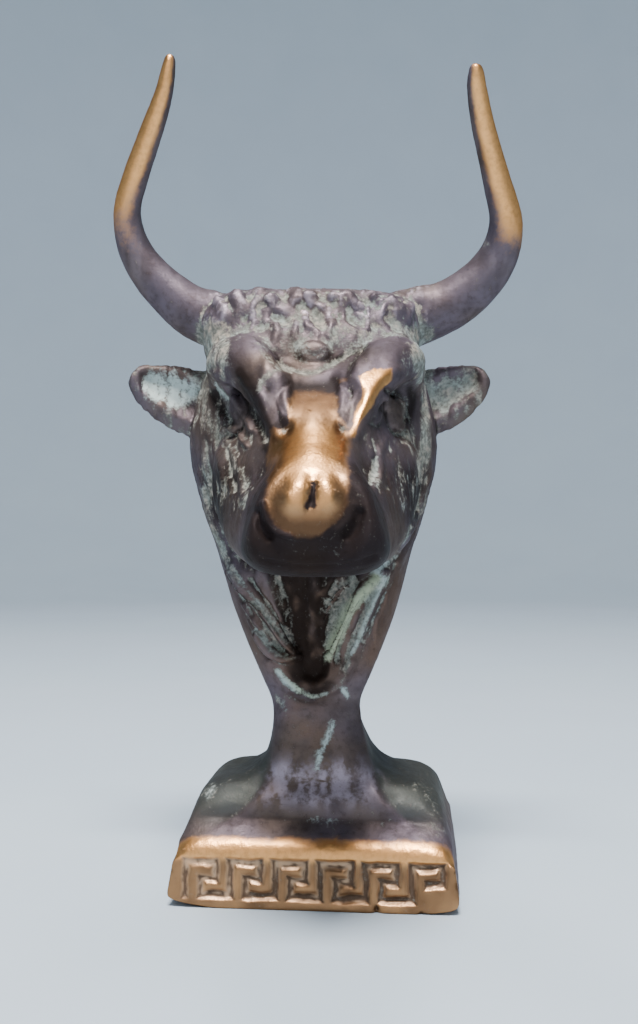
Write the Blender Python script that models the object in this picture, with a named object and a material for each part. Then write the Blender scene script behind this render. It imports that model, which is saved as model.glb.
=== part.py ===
"""A bull's head on a tapering neck, cast in one piece with its stem and rectangular foot.

The casting is modelled as a sculptor builds it in clay: closed masses are laid over each other,
fused by a voxel remesh and relaxed where they meet; ropes, locks and lids are laid on that skin
and fused too, and then the hollows are carved. X runs across the face, the muzzle points to -Y,
and Z is up. Sizes are millimetres. The figure's own proportions are shares of these sizes.
"""

import math

import bmesh
import bpy
import numpy as np
from mathutils import Matrix, Vector
from mathutils.bvhtree import BVHTree

MM = 0.001

# Foot: a flat-sided slab whose top swells up to the stem like a cushion
FOOT_WIDTH = 40.0
FOOT_DEPTH = 30.0
FOOT_EDGE_HEIGHT = 8.0
FOOT_SWELL_HEIGHT = 8.2
FOOT_DRAFT = 0.14
FOOT_UNDER_ROUND = 0.8
FOOT_TOP_ROUND = 1.8
FOOT_TURN = math.radians(5.5)
FOOT_SHIFT = -0.6
FOOT_WEAR = 1.6
CORNER_REACH = 1.8

# Greek key sunk in the front of the foot
KEY_COUNT = 6
KEY_STROKE = 1.0
KEY_DEPTH = 0.6
KEY_BELOW = 1.3
KEY_ABOVE = 1.5
KEY_LEFT = 2.1
KEY_RIGHT = 2.0

# Stem and neck
STEM_WIDTH = 12.5
STEM_DEPTH = 12.2
STEM_WAIST_HEIGHT = 26.0
NECK_WIDTH = 36.6
NECK_SHIFT = -0.4
NECK_DEPTH = 31.0
NECK_WIDEST_HEIGHT = 63.0
CROWN_HEIGHT = 85.6
THROAT_DEPTH = 1.8

# Head
HEAD_LENGTH = 40.0
HEAD_WIDTH = 28.0
MUZZLE_WIDTH = 15.4
EYE_RADIUS = 2.3
LID_RADIUS = 0.75
SOCKET_DEPTH = 2.4
BRIDGE_DEPTH = 1.2
NOSTRIL_DEPTH = 1.0
LIP_DEPTH = 0.35
SLIT_DEPTH = 0.8
LOCK_COUNT = 11
LOCK_RADIUS = 1.35

# Horns and ears
HORN_SPAN = 54.8
HORN_ROOT_RADIUS = 4.0
LEFT_HORN_RISE = 36.0
RIGHT_HORN_RISE = 32.9
LEFT_HORN_LEAN = 11.0
RIGHT_HORN_LEAN = 16.0
LEFT_EAR_REACH = 27.3
RIGHT_EAR_REACH = 25.2
EAR_HEIGHT = 9.8
EAR_THICKNESS = 3.6
EAR_CUP_DEPTH = 1.6

# Height of the ears' roots as a share of the crown's height
EAR_ROOT = 0.808

# Each horn's centreline and bulk: out, up and forward as shares of its reach, rise and lean
LEFT_HORN = (
    (0.25, -0.02, 0.02, 1.05),
    (0.59, 0.03, 0.05, 0.98),
    (0.80, 0.14, 0.12, 0.80),
    (0.943, 0.275, 0.22, 0.63),
    (0.989, 0.43, 0.36, 0.50),
    (0.927, 0.58, 0.52, 0.46),
    (0.84, 0.73, 0.70, 0.41),
    (0.772, 0.85, 0.86, 0.33),
    (0.738, 0.95, 0.97, 0.25),
    (0.732, 0.99, 1.0, 0.15),
)
RIGHT_HORN = (
    (0.25, -0.02, 0.02, 1.08),
    (0.525, 0.03, 0.05, 1.02),
    (0.755, 0.11, 0.12, 0.90),
    (0.93, 0.25, 0.24, 0.75),
    (0.98, 0.41, 0.38, 0.60),
    (0.915, 0.585, 0.54, 0.49),
    (0.835, 0.765, 0.74, 0.41),
    (0.792, 0.89, 0.89, 0.35),
    (0.78, 0.955, 0.97, 0.28),
    (0.781, 0.985, 1.0, 0.18),
)

# Clay: size of the remesh cells, how far each relaxing reaches (mm squared), triangles kept
CLAY_CELL = 0.5
ROUGH_SMOOTHING = 2.5
FIGURE_SMOOTHING = 0.75
LAST_SMOOTHING = 0.25
TRIANGLES = 8000

BRONZE_COLOUR = (0.165, 0.125, 0.105, 1.0)
BRONZE_ROUGHNESS = 0.42


def clear_scene():
    for thing in list(bpy.data.objects):
        bpy.data.objects.remove(thing)


def smooth_rows(rows, count):
    """Rows of numbers read at count even steps along a smooth curve through them."""
    rows = np.array(rows, float)
    padded = np.vstack([2 * rows[0] - rows[1], rows, 2 * rows[-1] - rows[-2]])
    place = np.linspace(0, len(rows) - 1, count)
    first = np.minimum(place.astype(int), len(rows) - 2)
    t = (place - first)[:, None]
    before, start, end, after = (padded[first + step] for step in range(4))
    square = (2 * before - 5 * start + 4 * end - after) * t**2
    cube = (3 * start - before - 3 * end + after) * t**3
    return start + 0.5 * ((end - before) * t + square + cube)


def oval(half_width, half_depth, squareness, steps=48):
    """Points of an ellipse that grows squarer as squareness rises above 2."""
    turn = np.linspace(0, 2 * math.pi, steps, endpoint=False)
    across, along = np.cos(turn), np.sin(turn)
    power = 2 / squareness
    return (
        half_width * np.sign(across) * np.abs(across) ** power,
        half_depth * np.sign(along) * np.abs(along) ** power,
    )


def loft(rings):
    """A closed mesh through rings of points, flat over each end."""
    shape = bmesh.new()
    loops = [[shape.verts.new(point) for point in ring] for ring in rings]
    for lower, upper in zip(loops, loops[1:]):
        for i in range(len(lower)):
            shape.faces.new((lower[i - 1], lower[i], upper[i], upper[i - 1]))
    shape.faces.new(loops[0])
    shape.faces.new(loops[-1])
    bmesh.ops.recalc_face_normals(shape, faces=shape.faces)
    mesh = bpy.data.meshes.new("mass")
    shape.to_mesh(mesh)
    shape.free()
    return mesh


def sweep(rows, across, count=24, steps=20):
    """A closed mesh along rows of x, y, z, half width, half thickness; the width lies along across."""
    thinnest = 0.05
    path = smooth_rows(rows, count)
    centres = path[:, :3]
    heading = np.gradient(centres, axis=0)
    heading /= np.linalg.norm(heading, axis=1)[:, None]
    thick = np.cross(heading, np.array(across, float))
    thick /= np.linalg.norm(thick, axis=1)[:, None]
    wide = np.cross(thick, heading)
    u, v = oval(1, 1, 2, steps)
    return loft(
        [
            centre + np.outer(u * max(w, thinnest), sideways) + np.outer(v * max(h, thinnest), through)
            for centre, w, h, sideways, through in zip(centres, path[:, 3], path[:, 4], wide, thick)
        ]
    )


def ball(centre, radii, squareness=2.0):
    """A closed ellipsoid, or a squarer pebble."""
    rise = np.linspace(-0.97, 0.97, 17)
    rings = []
    for t in rise:
        share = (1 - abs(t) ** squareness) ** (1 / squareness)
        u, v = oval(radii[0] * share, radii[1] * share, squareness, 32)
        z = np.full_like(u, radii[2] * t)
        rings.append(np.array(centre) + np.column_stack([u, v, z]))
    return loft(rings)


def ease(x):
    x = np.clip(x, 0, 1)
    return x * x * (3 - 2 * x)


def in_head(out, forward, up):
    """A place given as shares of the head's half width, its length and the crown's height."""
    return Vector((out * HEAD_WIDTH / 2, -forward * HEAD_LENGTH, up * CROWN_HEIGHT))


def in_scale(out, forward, up):
    """Radii given as the same shares."""
    return out * HEAD_WIDTH / 2, forward * HEAD_LENGTH, up * CROWN_HEIGHT


def head_rows(side, rows):
    """Rows for a sweep on one side of the head; widths are shares of the head's half width."""
    scale = HEAD_WIDTH / 2
    return [(*in_head(side * x, y, z), w * scale, t * scale) for x, y, z, w, t in rows]


def upright_rows():
    """The foot, stem and neck from below: height, half width, front, back, squareness.

    The slab is a little oversize at its sides, which are pressed flat later.
    """
    press = FOOT_UNDER_ROUND
    wide, deep = FOOT_WIDTH / 2, FOOT_DEPTH / 2
    waist_wide, waist_deep = STEM_WIDTH / 2, STEM_DEPTH / 2
    edge, swell, waist = FOOT_EDGE_HEIGHT, FOOT_SWELL_HEIGHT, STEM_WAIST_HEIGHT
    top = edge + swell
    bevel = FOOT_TOP_ROUND
    neck_wide, neck_deep = NECK_WIDTH / 2, NECK_DEPTH / 2
    widest, crown = NECK_WIDEST_HEIGHT, CROWN_HEIGHT
    rise, cap = widest - waist, crown - widest
    flare = waist - top
    back, front = 1.16 * neck_deep, 0.84 * neck_deep
    rows = [
        (-2 * press, wide - press, deep - press, deep - press, 16),
        (0, wide - press, deep - press, deep - press, 16),
        (press, wide + press, deep + press, deep + press, 16),
        (edge - bevel, wide + press, deep + press, deep + press, 16),
        (edge - 0.2 * bevel, 0.965 * wide, 0.99 * deep, deep, 16),
        (edge + 0.10 * swell, 0.93 * wide, 0.92 * deep, 0.96 * deep, 14),
        (edge + 0.42 * swell, 0.89 * wide, 0.745 * deep, 0.92 * deep, 9),
        (edge + 0.72 * swell, 0.845 * wide, 0.62 * deep, 0.84 * deep, 7),
        (edge + 0.92 * swell, 0.74 * wide, 0.55 * deep, 0.72 * deep, 6),
        (top, 0.58 * wide, 0.52 * deep, 0.58 * deep, 5),
        (top + 0.20 * flare, 1.32 * waist_wide, 1.28 * waist_deep, 1.25 * waist_deep, 5),
        (top + 0.60 * flare, 1.06 * waist_wide, 1.09 * waist_deep, 1.06 * waist_deep, 5),
        (waist, waist_wide, waist_deep, waist_deep, 5),
        (waist + 0.11 * rise, 0.435 * neck_wide, 0.53 * front, 0.44 * back, 3.8),
        (waist + 0.24 * rise, 0.555 * neck_wide, 0.60 * front, 0.56 * back, 2.8),
        (waist + 0.40 * rise, 0.675 * neck_wide, 0.71 * front, 0.72 * back, 2.5),
        (waist + 0.60 * rise, 0.79 * neck_wide, 0.84 * front, 0.88 * back, 2.3),
        (waist + 0.80 * rise, 0.92 * neck_wide, 0.95 * front, 0.97 * back, 2.3),
        (widest, neck_wide, front, back, 2.3),
        (widest + 0.30 * cap, 0.95 * neck_wide, 0.95 * front, 0.95 * back, 2.4),
        (widest + 0.58 * cap, 0.82 * neck_wide, 0.8 * front, 0.8 * back, 2.4),
        (widest + 0.80 * cap, 0.66 * neck_wide, 0.55 * front, 0.6 * back, 2.4),
        (widest + 0.95 * cap, 0.4 * neck_wide, 0.3 * front, 0.3 * back, 2.2),
    ]
    return smooth_rows(rows, 120)


def stand_and_neck():
    """Foot, stem and neck as one upright loft; the neck stands a little to one side."""
    rings = []
    for z, half, front, back, squareness in upright_rows():
        u, v = oval(half, (front + back) / 2, max(squareness, 2), 72)
        rise = (z - STEM_WAIST_HEIGHT) / (NECK_WIDEST_HEIGHT - STEM_WAIST_HEIGHT)
        u += NECK_SHIFT * ease(rise)
        rings.append(np.column_stack([u, v + (back - front) / 2, np.full_like(u, z)]))
    return loft(rings)


def skull():
    """Forehead, face and muzzle: each row gives the forehead or nose line, the jaw line and a width.

    Lines are (share of the head's length forward, share of the crown's height), widths are shares
    of the head's width; taper narrows the top of the section.
    """
    rows = [
        (-0.12, 0.965, -0.12, 0.66, 0.60, 0.00, 2.3),
        (0.07, 0.975, 0.05, 0.62, 0.88, 0.06, 2.4),
        (0.25, 0.917, 0.22, 0.567, 0.96, 0.16, 2.5),
        (0.40, 0.859, 0.37, 0.543, 0.93, 0.26, 2.5),
        (0.55, 0.804, 0.51, 0.534, 0.81, 0.36, 2.6),
        (0.70, 0.751, 0.65, 0.534, 0.69, 0.38, 2.8),
        (0.83, 0.714, 0.78, 0.536, 0.625, 0.33, 3.2),
        (0.925, 0.691, 0.88, 0.541, 0.61, 0.27, 3.4),
        (0.980, 0.664, 0.945, 0.553, 0.59, 0.20, 3.2),
        (1.0, 0.636, 0.985, 0.576, 0.48, 0.12, 2.6),
    ]
    muzzle_row = 0.61
    widening = MUZZLE_WIDTH / (HEAD_WIDTH * muzzle_row) - 1
    rings = []
    for nose, nose_up, jaw, jaw_up, width, taper, squareness in smooth_rows(rows, 50):
        top = np.array(in_head(0, nose, nose_up))
        low = np.array(in_head(0, jaw, jaw_up))
        half = width * HEAD_WIDTH / 2 * (1 + widening * min(max(nose, 0), 1))
        u, v = oval(1, 1, squareness, 56)
        middle, reach = (top + low) / 2, (top - low) / 2
        rings.append(middle + np.outer(v, reach) + np.outer(u * half * (1 - taper * v), (1, 0, 0)))
    return loft(rings)


def both_sides(build):
    """The same mass on the left and on the right."""
    return [build(-1), build(1)]


def brow(side):
    """The heavy pad from the bridge of the nose up and out over the eye."""
    rows = [
        (0.28, 0.685, 0.732, 0.06, 0.07),
        (0.335, 0.615, 0.762, 0.12, 0.135),
        (0.44, 0.515, 0.806, 0.185, 0.205),
        (0.62, 0.42, 0.850, 0.257, 0.243),
        (0.785, 0.32, 0.869, 0.265, 0.243),
        (0.885, 0.22, 0.861, 0.22, 0.215),
        (0.93, 0.125, 0.829, 0.157, 0.157),
    ]
    return sweep(head_rows(side, rows), (1, 0, 0.3))


def cheek(side):
    return ball(in_head(0.61 * side, 0.24, 0.678), in_scale(0.42, 0.26, 0.105))


def horn(side):
    """One horn, out from the crown, up, and in again at the tip."""
    lean, rise, rows = (
        (RIGHT_HORN_LEAN, RIGHT_HORN_RISE, RIGHT_HORN)
        if side > 0
        else (LEFT_HORN_LEAN, LEFT_HORN_RISE, LEFT_HORN)
    )
    root = in_head(0, 0.012, 0.946)
    path = []
    for out, up, forward, bulk in rows:
        radius = HORN_ROOT_RADIUS * bulk
        place = root + Vector((side * out * HORN_SPAN / 2, -lean * forward, up * rise))
        path.append((*place, radius, radius))
    return sweep(path, (0, 1, 0), 48)


def ear(side):
    """A leaf that points outward and a little up, its open face to the front."""
    tip = RIGHT_EAR_REACH if side > 0 else LEFT_EAR_REACH
    half = EAR_HEIGHT / 2
    thick = EAR_THICKNESS / 2
    rows = [
        (0.48, 0.33, -0.15, 0.85, 1.2),
        (0.62, 0.25, 0.05, 1.0, 1.05),
        (0.76, 0.12, 0.32, 0.95, 0.95),
        (0.87, 0.02, 0.58, 0.76, 0.85),
        (0.95, -0.06, 0.83, 0.50, 0.75),
        (0.99, -0.10, 0.95, 0.26, 0.55),
    ]
    root = EAR_ROOT * CROWN_HEIGHT
    path = [(x * tip * side, y * half, root + z * half, w * half, t * thick) for x, y, z, w, t in rows]
    return sweep(path, (-0.25 * side, 0, 1))


def nose(side):
    """One of the two low bosses of the nose."""
    return ball(in_head(0.125 * side, 0.962, 0.652), in_scale(0.20, 0.045, 0.031))


def crown():
    """The band of the poll between the horns, which carries the curls."""
    return ball(in_head(-0.05, 0.0425, 0.922), in_scale(1.11, 0.23, 0.0715), 4.0)


def forehead():
    return ball(in_head(0, 0.255, 0.88), in_scale(0.79, 0.11, 0.054), 2.4)


def seen(skin, place, way):
    """Where a line along way through place first meets the skin, and the skin's normal there."""
    way = Vector(way).normalized()
    spot, normal = skin.ray_cast(Vector(place) - CROWN_HEIGHT * way, way)[:2]
    if spot is None:
        spot, normal = skin.find_nearest(place)[:2]
    return spot, normal


def on_face(skin, out, up):
    """The place on the front of the head at shares of its half width and the crown's height."""
    return seen(skin, in_head(out, 0.5, up), (0, 1, 0))


def on_neck(skin, out, up):
    """The place on the front of the neck, up being the share from the waist to the widest height."""
    height = STEM_WAIST_HEIGHT + up * (NECK_WIDEST_HEIGHT - STEM_WAIST_HEIGHT)
    return seen(skin, (out * NECK_WIDTH / 2, 0, height), (0, 1, 0))


def strand(spots, radii, lift=0.1, count=28):
    """A rope of clay through spots of the skin, raised by a share of its own radius."""
    rows = []
    for (spot, normal), radius in zip(spots, radii):
        rows.append((*(spot + lift * radius * normal), radius, radius))
    return sweep(rows, (1, 0.1, 0), count, 12)


def brow_fold(skin, side):
    """The frown fold that curls from the middle of the forehead down beside the bridge."""
    rows = (
        (0.02, 0.848, 0.05),
        (0.18, 0.846, 0.075),
        (0.33, 0.829, 0.085),
        (0.33, 0.803, 0.085),
        (0.25, 0.778, 0.08),
        (0.27, 0.752, 0.055),
    )
    spots = [on_face(skin, side * out, up) for out, up, radius in rows]
    return strand(spots, [radius * HEAD_WIDTH / 2 for out, up, radius in rows], 0.15)


def lock(skin, x, slant, angles, radius):
    """One curl on the crown: from the first angle to the last round the crown, bending sideways."""
    middle = in_head(0, 0.0425, 0.922)
    spots = []
    for share in (0, 0.25, 0.5, 0.75, 1):
        angle = math.radians(angles[0] + share * (angles[1] - angles[0]))
        way = Vector((0, math.cos(angle), -math.sin(angle)))
        bend = slant * (share**2 + 0.35 * math.sin(2 * math.pi * share))
        spots.append(seen(skin, middle + Vector((x + bend, 0, 0)), way))
    return strand(spots, [radius * bulk for bulk in (0.55, 0.9, 1.05, 0.9, 0.45)], -0.1, 16)


def forehead_locks(skin):
    """Two rows of curls whose slant and size vary along the crown."""
    half = HEAD_WIDTH / 2
    locks = []
    for i, x in enumerate(np.linspace(-0.97, 0.97, LOCK_COUNT)):
        slant = half * (0.12 * math.sin(4.1 * i) + 0.13 * x)
        radius = LOCK_RADIUS * (1 + 0.16 * math.sin(2.7 * i))
        locks.append(lock(skin, x * half, slant, (66, 3 + 6 * math.sin(3.3 * i)), radius))
    for i, x in enumerate(np.linspace(-0.86, 0.86, LOCK_COUNT - 2)):
        slant = half * (0.14 * math.sin(2.3 * i + 1) + 0.1 * x)
        radius = LOCK_RADIUS * (0.85 + 0.12 * math.sin(3.1 * i))
        locks.append(lock(skin, x * half, slant, (22, -9 + 4 * math.sin(4.3 * i)), radius))
    return locks


def mane(skin):
    """The ropes of hair that border the throat; the right one loops round above the stem."""
    right_outer = (
        (0.90, 0.92, 0.07),
        (0.77, 0.72, 0.08),
        (0.63, 0.57, 0.085),
        (0.50, 0.44, 0.08),
        (0.375, 0.30, 0.075),
        (0.285, 0.19, 0.07),
        (0.18, 0.10, 0.06),
        (0.03, 0.06, 0.055),
        (-0.12, 0.08, 0.06),
        (-0.27, 0.14, 0.07),
    )
    right_inner = ((0.47, 0.53, 0.055), (0.385, 0.45, 0.075), (0.25, 0.34, 0.075), (0.13, 0.22, 0.045))
    left_outer = (
        (-0.87, 0.92, 0.07),
        (-0.74, 0.70, 0.08),
        (-0.56, 0.53, 0.085),
        (-0.41, 0.41, 0.085),
        (-0.27, 0.31, 0.08),
        (-0.16, 0.22, 0.055),
    )
    left_inner = (
        (-0.49, 0.40, 0.04),
        (-0.40, 0.31, 0.06),
        (-0.30, 0.245, 0.065),
        (-0.21, 0.20, 0.06),
        (-0.12, 0.165, 0.045),
    )
    half = NECK_WIDTH / 2
    ropes = []
    for rows in (right_outer, right_inner, left_outer, left_inner):
        spots = [on_neck(skin, out, up) for out, up, radius in rows]
        ropes.append(strand(spots, [radius * half for out, up, radius in rows]))
    return ropes


def eye(skin, side):
    """The ball of the eye in its socket, with the two lids bent over it."""
    gaze = Vector((0.82 * side, -0.56, 0.10)).normalized()
    ahead = Vector((0, 0, side)).cross(gaze).normalized()
    over = ahead.cross(gaze) * side
    spot = seen(skin, in_head(0.82 * side, 0.35, 0.785), -gaze)[0]
    centre = spot - 0.1 * EYE_RADIUS * gaze
    parts = [ball(centre, (EYE_RADIUS,) * 3)]
    for lift, reach in ((0.72, 1.0), (-0.62, 0.95)):
        rows = []
        for turn in np.linspace(-1.35, 1.35, 7):
            way = math.sin(turn) * ahead + math.cos(turn) * lift * over + 0.62 * gaze
            place = centre + EYE_RADIUS * 1.06 * way.normalized()
            thick = LID_RADIUS * reach * (0.65 + 0.35 * math.cos(turn))
            rows.append((*place, thick, thick))
        parts.append(sweep(rows, gaze, 20, 10))
    return parts


def whorl(skin):
    """The small boss in the middle of the forehead."""
    spot = on_face(skin, -0.02, 0.876)[0]
    return ball(spot, in_scale(0.17, 0.035, 0.019))


def fuse(masses):
    """One skin over all the masses, as an object."""
    together = bmesh.new()
    for mass in masses:
        together.from_mesh(mass)
    mesh = bpy.data.meshes.new("clay")
    together.to_mesh(mesh)
    together.free()
    lump = bpy.data.objects.new("clay", mesh)
    bpy.context.collection.objects.link(lump)
    skin = lump.modifiers.new("skin", "REMESH")
    skin.mode = "VOXEL"
    skin.voxel_size = CLAY_CELL
    return bake(lump)


def bake(thing):
    """Applies the object's modifiers."""
    graph = bpy.context.evaluated_depsgraph_get()
    graph.update()
    mesh = bpy.data.meshes.new_from_object(thing.evaluated_get(graph))
    thing.modifiers.clear()
    thing.data = mesh
    return thing


def points_of(mesh):
    points = np.empty(len(mesh.vertices) * 3)
    mesh.vertices.foreach_get("co", points)
    return points.reshape(-1, 3)


def normals_of(mesh):
    normals = np.empty(len(mesh.vertices) * 3, np.float32)
    mesh.vertex_normals.foreach_get("vector", normals)
    return normals.reshape(-1, 3).astype(float)


def set_points(mesh, points):
    mesh.vertices.foreach_set("co", points.ravel())
    mesh.update()


def relax(mesh, smoothing):
    """Moves each vertex half way to the middle of its neighbours, over and over."""
    ends = np.empty(len(mesh.edges) * 2, int)
    mesh.edges.foreach_get("vertices", ends)
    a, b = ends.reshape(-1, 2).T
    points = points_of(mesh)
    count = np.bincount(a, minlength=len(points)) + np.bincount(b, minlength=len(points))
    for _ in range(max(1, round(smoothing / CLAY_CELL**2))):
        total = np.zeros_like(points)
        for axis in range(3):
            total[:, axis] += np.bincount(a, points[b, axis], len(points))
            total[:, axis] += np.bincount(b, points[a, axis], len(points))
        points += 0.5 * (total / count[:, None] - points)
    set_points(mesh, points)


def near(points, centre, radii):
    """1 at the centre of an ellipsoid, falling smoothly to 0 at its skin."""
    away = np.linalg.norm((points - np.array(centre)) / np.array(radii), axis=1)
    return ease(1 - away)


def along(points, rows, radius):
    """1 on a curve through rows of x, y, z, falling smoothly to 0 at radius from it."""
    path = smooth_rows(rows, 24)
    away = np.min([np.linalg.norm(points - p, axis=1) for p in path], axis=0)
    return ease(1 - away / radius)


def carve(mesh, depth_of):
    """Sinks each vertex along its normal by the depth that depth_of gives for all the points."""
    points = points_of(mesh)
    normals = normals_of(mesh)
    set_points(mesh, points - normals * depth_of(points, normals)[:, None])


def sockets(points, normals):
    """Sinks the eye sockets and the two sides of the bridge of the nose."""
    depth = np.zeros(len(points))
    for side in (-1, 1):
        socket = near(points, in_head(0.88 * side, 0.38, 0.778), in_scale(0.33, 0.15, 0.054))
        bridge = near(points, in_head(0.49 * side, 0.70, 0.69), in_scale(0.25, 0.225, 0.058))
        depth += SOCKET_DEPTH * socket + BRIDGE_DEPTH * bridge
    return depth


def ear_cups(points, normals):
    """Hollows the front of the ears, leaving a rim."""
    half = EAR_HEIGHT / 2
    depth = np.zeros(len(points))
    facing = ease(-normals[:, 1] * 2.2 - 0.4)
    for side, tip in ((-1, LEFT_EAR_REACH), (1, RIGHT_EAR_REACH)):
        out = side * points[:, 0] / tip
        middle = EAR_ROOT * CROWN_HEIGHT + half * np.interp(out, [0.6, 1], [0.02, 0.95])
        room = half * np.interp(out, [0.6, 0.76, 0.9, 0.99], [0.66, 0.72, 0.5, 0.18])
        inside = ease(1.35 * (1 - np.abs(points[:, 2] - middle) / room))
        reach = ease((out - 0.56) / 0.1) * ease((0.97 - out) / 0.07)
        depth += EAR_CUP_DEPTH * facing * inside * reach
    return depth


def throat(points, normals):
    """The V below the jaw, sunk between the ropes of the mane, with the dewlap down its middle."""
    x, y, z = points.T
    out = (x + 0.3) / (NECK_WIDTH / 2)
    up = (z - STEM_WAIST_HEIGHT) / (NECK_WIDEST_HEIGHT - STEM_WAIST_HEIGHT)
    spread = np.interp(up, [0.07, 0.12, 0.2, 0.38, 0.65], [0.0, 0.12, 0.15, 0.29, 0.52])
    inside = ease((spread - np.abs(out)) / 0.09) * ease((up - 0.07) / 0.04)
    inside *= ease((0.72 - up) / 0.16) * ease(-normals[:, 1] * 3)
    inside *= ease((y / HEAD_LENGTH + 0.45) / 0.125)
    dewlap = ease(1 - np.abs(out) / 0.09) * ease((up - 0.13) / 0.1)
    return THROAT_DEPTH * inside * (1 - 0.7 * dewlap)


def muzzle_marks(skin, points):
    """The nostrils, the line of the lips and the slit in the nose."""
    nostril = ((0.47, 0.630), (0.40, 0.614), (0.30, 0.600))
    lip = ((0.0, 0.98, 0.574), (0.35, 0.95, 0.570), (0.60, 0.84, 0.572), (0.66, 0.68, 0.58))
    slit = ((0.02, 0.672), (0.02, 0.655), (0.0, 0.638))
    half = MUZZLE_WIDTH / 2
    depth = np.zeros(len(points))
    for side in (-1, 1):
        spots = [on_face(skin, side * out, up)[0] for out, up in nostril]
        depth += NOSTRIL_DEPTH * along(points, spots, 0.18 * half)
        spots = [skin.find_nearest(in_head(side * out, forward, up))[0] for out, forward, up in lip]
        depth += LIP_DEPTH * along(points, spots, 0.14 * half)
    spots = [on_face(skin, out, up)[0] for out, up in slit]
    return depth + SLIT_DEPTH * along(points, spots, 0.12 * half)


def rough_figure():
    """The plain masses of foot, neck and head, before the features are laid on."""
    masses = [stand_and_neck(), skull(), crown(), forehead()]
    masses += both_sides(cheek) + both_sides(brow) + both_sides(nose)
    clay = fuse(masses)
    relax(clay.data, ROUGH_SMOOTHING)
    carve(clay.data, sockets)
    return clay


def skin_of(thing):
    """A tree for finding places on the object's surface."""
    return BVHTree.FromObject(thing, bpy.context.evaluated_depsgraph_get())


def sculpt():
    """The whole figure in clay."""
    clay = rough_figure()
    skin = skin_of(clay)
    masses = [clay.data, whorl(skin)] + forehead_locks(skin) + mane(skin)
    masses += both_sides(horn) + both_sides(ear)
    for side in (-1, 1):
        masses += [brow_fold(skin, side)] + eye(skin, side)
    figure = fuse(masses)
    relax(figure.data, FIGURE_SMOOTHING)
    carve(figure.data, throat)
    carve(figure.data, ear_cups)
    carve(figure.data, lambda points, normals: muzzle_marks(skin, points))
    relax(figure.data, LAST_SMOOTHING)
    bpy.data.objects.remove(clay)
    press_foot(figure.data)
    return figure


def press_foot(mesh):
    """Presses the sides of the foot flat, with a little draft, and wears one bottom corner round."""
    points = points_of(mesh)
    x, y, z = points.T
    below = z < FOOT_EDGE_HEIGHT + FOOT_TOP_ROUND
    wide = FOOT_WIDTH / 2 - FOOT_DRAFT * z
    deep = FOOT_DEPTH / 2 - FOOT_DRAFT * z
    points[below, 0] = np.clip(x, -wide, wide)[below]
    points[below, 1] = np.clip(y, -deep, deep)[below]
    corner = ease(-0.45 - 1.6 * x / FOOT_WIDTH) * ease(-1.2 - 4.4 * y / FOOT_DEPTH)
    points[:, 2] += FOOT_WEAR * corner * ease((FOOT_EDGE_HEIGHT - z) / FOOT_EDGE_HEIGHT)
    set_points(mesh, points)


def turn_foot(mesh):
    """Turns and shifts the foot a little about the middle of its front, as the casting came out."""
    points = points_of(mesh)
    x, y, z = points.T
    top = FOOT_EDGE_HEIGHT + FOOT_SWELL_HEIGHT
    front = FOOT_DEPTH / 2
    angle = FOOT_TURN * ease((STEM_WAIST_HEIGHT - z) / (STEM_WAIST_HEIGHT - top))
    across = x * np.cos(angle) + (y + front) * np.sin(angle)
    back = (y + front) * np.cos(angle) - x * np.sin(angle)
    shift = FOOT_SHIFT / FOOT_TURN * angle
    set_points(mesh, np.column_stack([across + shift, back - front, z]))


def cut_flat_below(thing):
    """Cuts the underside flat at the height it stands on."""
    shape = bmesh.new()
    shape.from_mesh(thing.data)
    everything = shape.verts[:] + shape.edges[:] + shape.faces[:]
    cut = bmesh.ops.bisect_plane(
        shape, geom=everything, plane_co=(0, 0, 0), plane_no=(0, 0, 1), clear_inner=True
    )
    rim = [part for part in cut["geom_cut"] if isinstance(part, bmesh.types.BMEdge)]
    bmesh.ops.edgenet_fill(shape, edges=rim)
    bmesh.ops.triangulate(shape, faces=shape.faces)
    shape.to_mesh(thing.data)
    shape.free()


def thin_out(thing, triangles):
    """Fewer triangles where the surface is plain; the rounded edges of the foot keep theirs."""
    x, y, z = np.abs(points_of(thing.data)).T
    side = ease((x - FOOT_WIDTH / 2) / CORNER_REACH + 2)
    front = ease((y - FOOT_DEPTH / 2) / CORNER_REACH + 2)
    kept = (z < FOOT_EDGE_HEIGHT) & (side * front > 0.2)
    group = thing.vertex_groups.new(name="plain")
    group.add(np.flatnonzero(~kept).tolist(), 1.0, "REPLACE")
    less = thing.modifiers.new("less", "DECIMATE")
    less.vertex_group = group.name
    thing.data.calc_loop_triangles()
    less.ratio = min(1, triangles / len(thing.data.loop_triangles))
    bake(thing)


def key_path():
    """Centreline of the key's groove, as (across, up) corners."""
    half = KEY_STROKE / 2
    low, high = KEY_BELOW + half, FOOT_EDGE_HEIGHT - KEY_ABOVE - half
    middle = (low + high) / 2
    start = -FOOT_WIDTH / 2 + KEY_LEFT + half
    inner, outer = 0.34, 0.66
    pitch = (FOOT_WIDTH - KEY_LEFT - KEY_RIGHT - KEY_STROKE) / (KEY_COUNT - 1 + outer)
    corners = []
    for unit in range(KEY_COUNT):
        x = start + unit * pitch
        corners += [(x, low), (x, high), (x + outer * pitch, high), (x + outer * pitch, middle)]
        corners += [(x + inner * pitch, middle), (x + inner * pitch, low)]
    return [Vector(corner) for corner in corners[:-1]]


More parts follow.
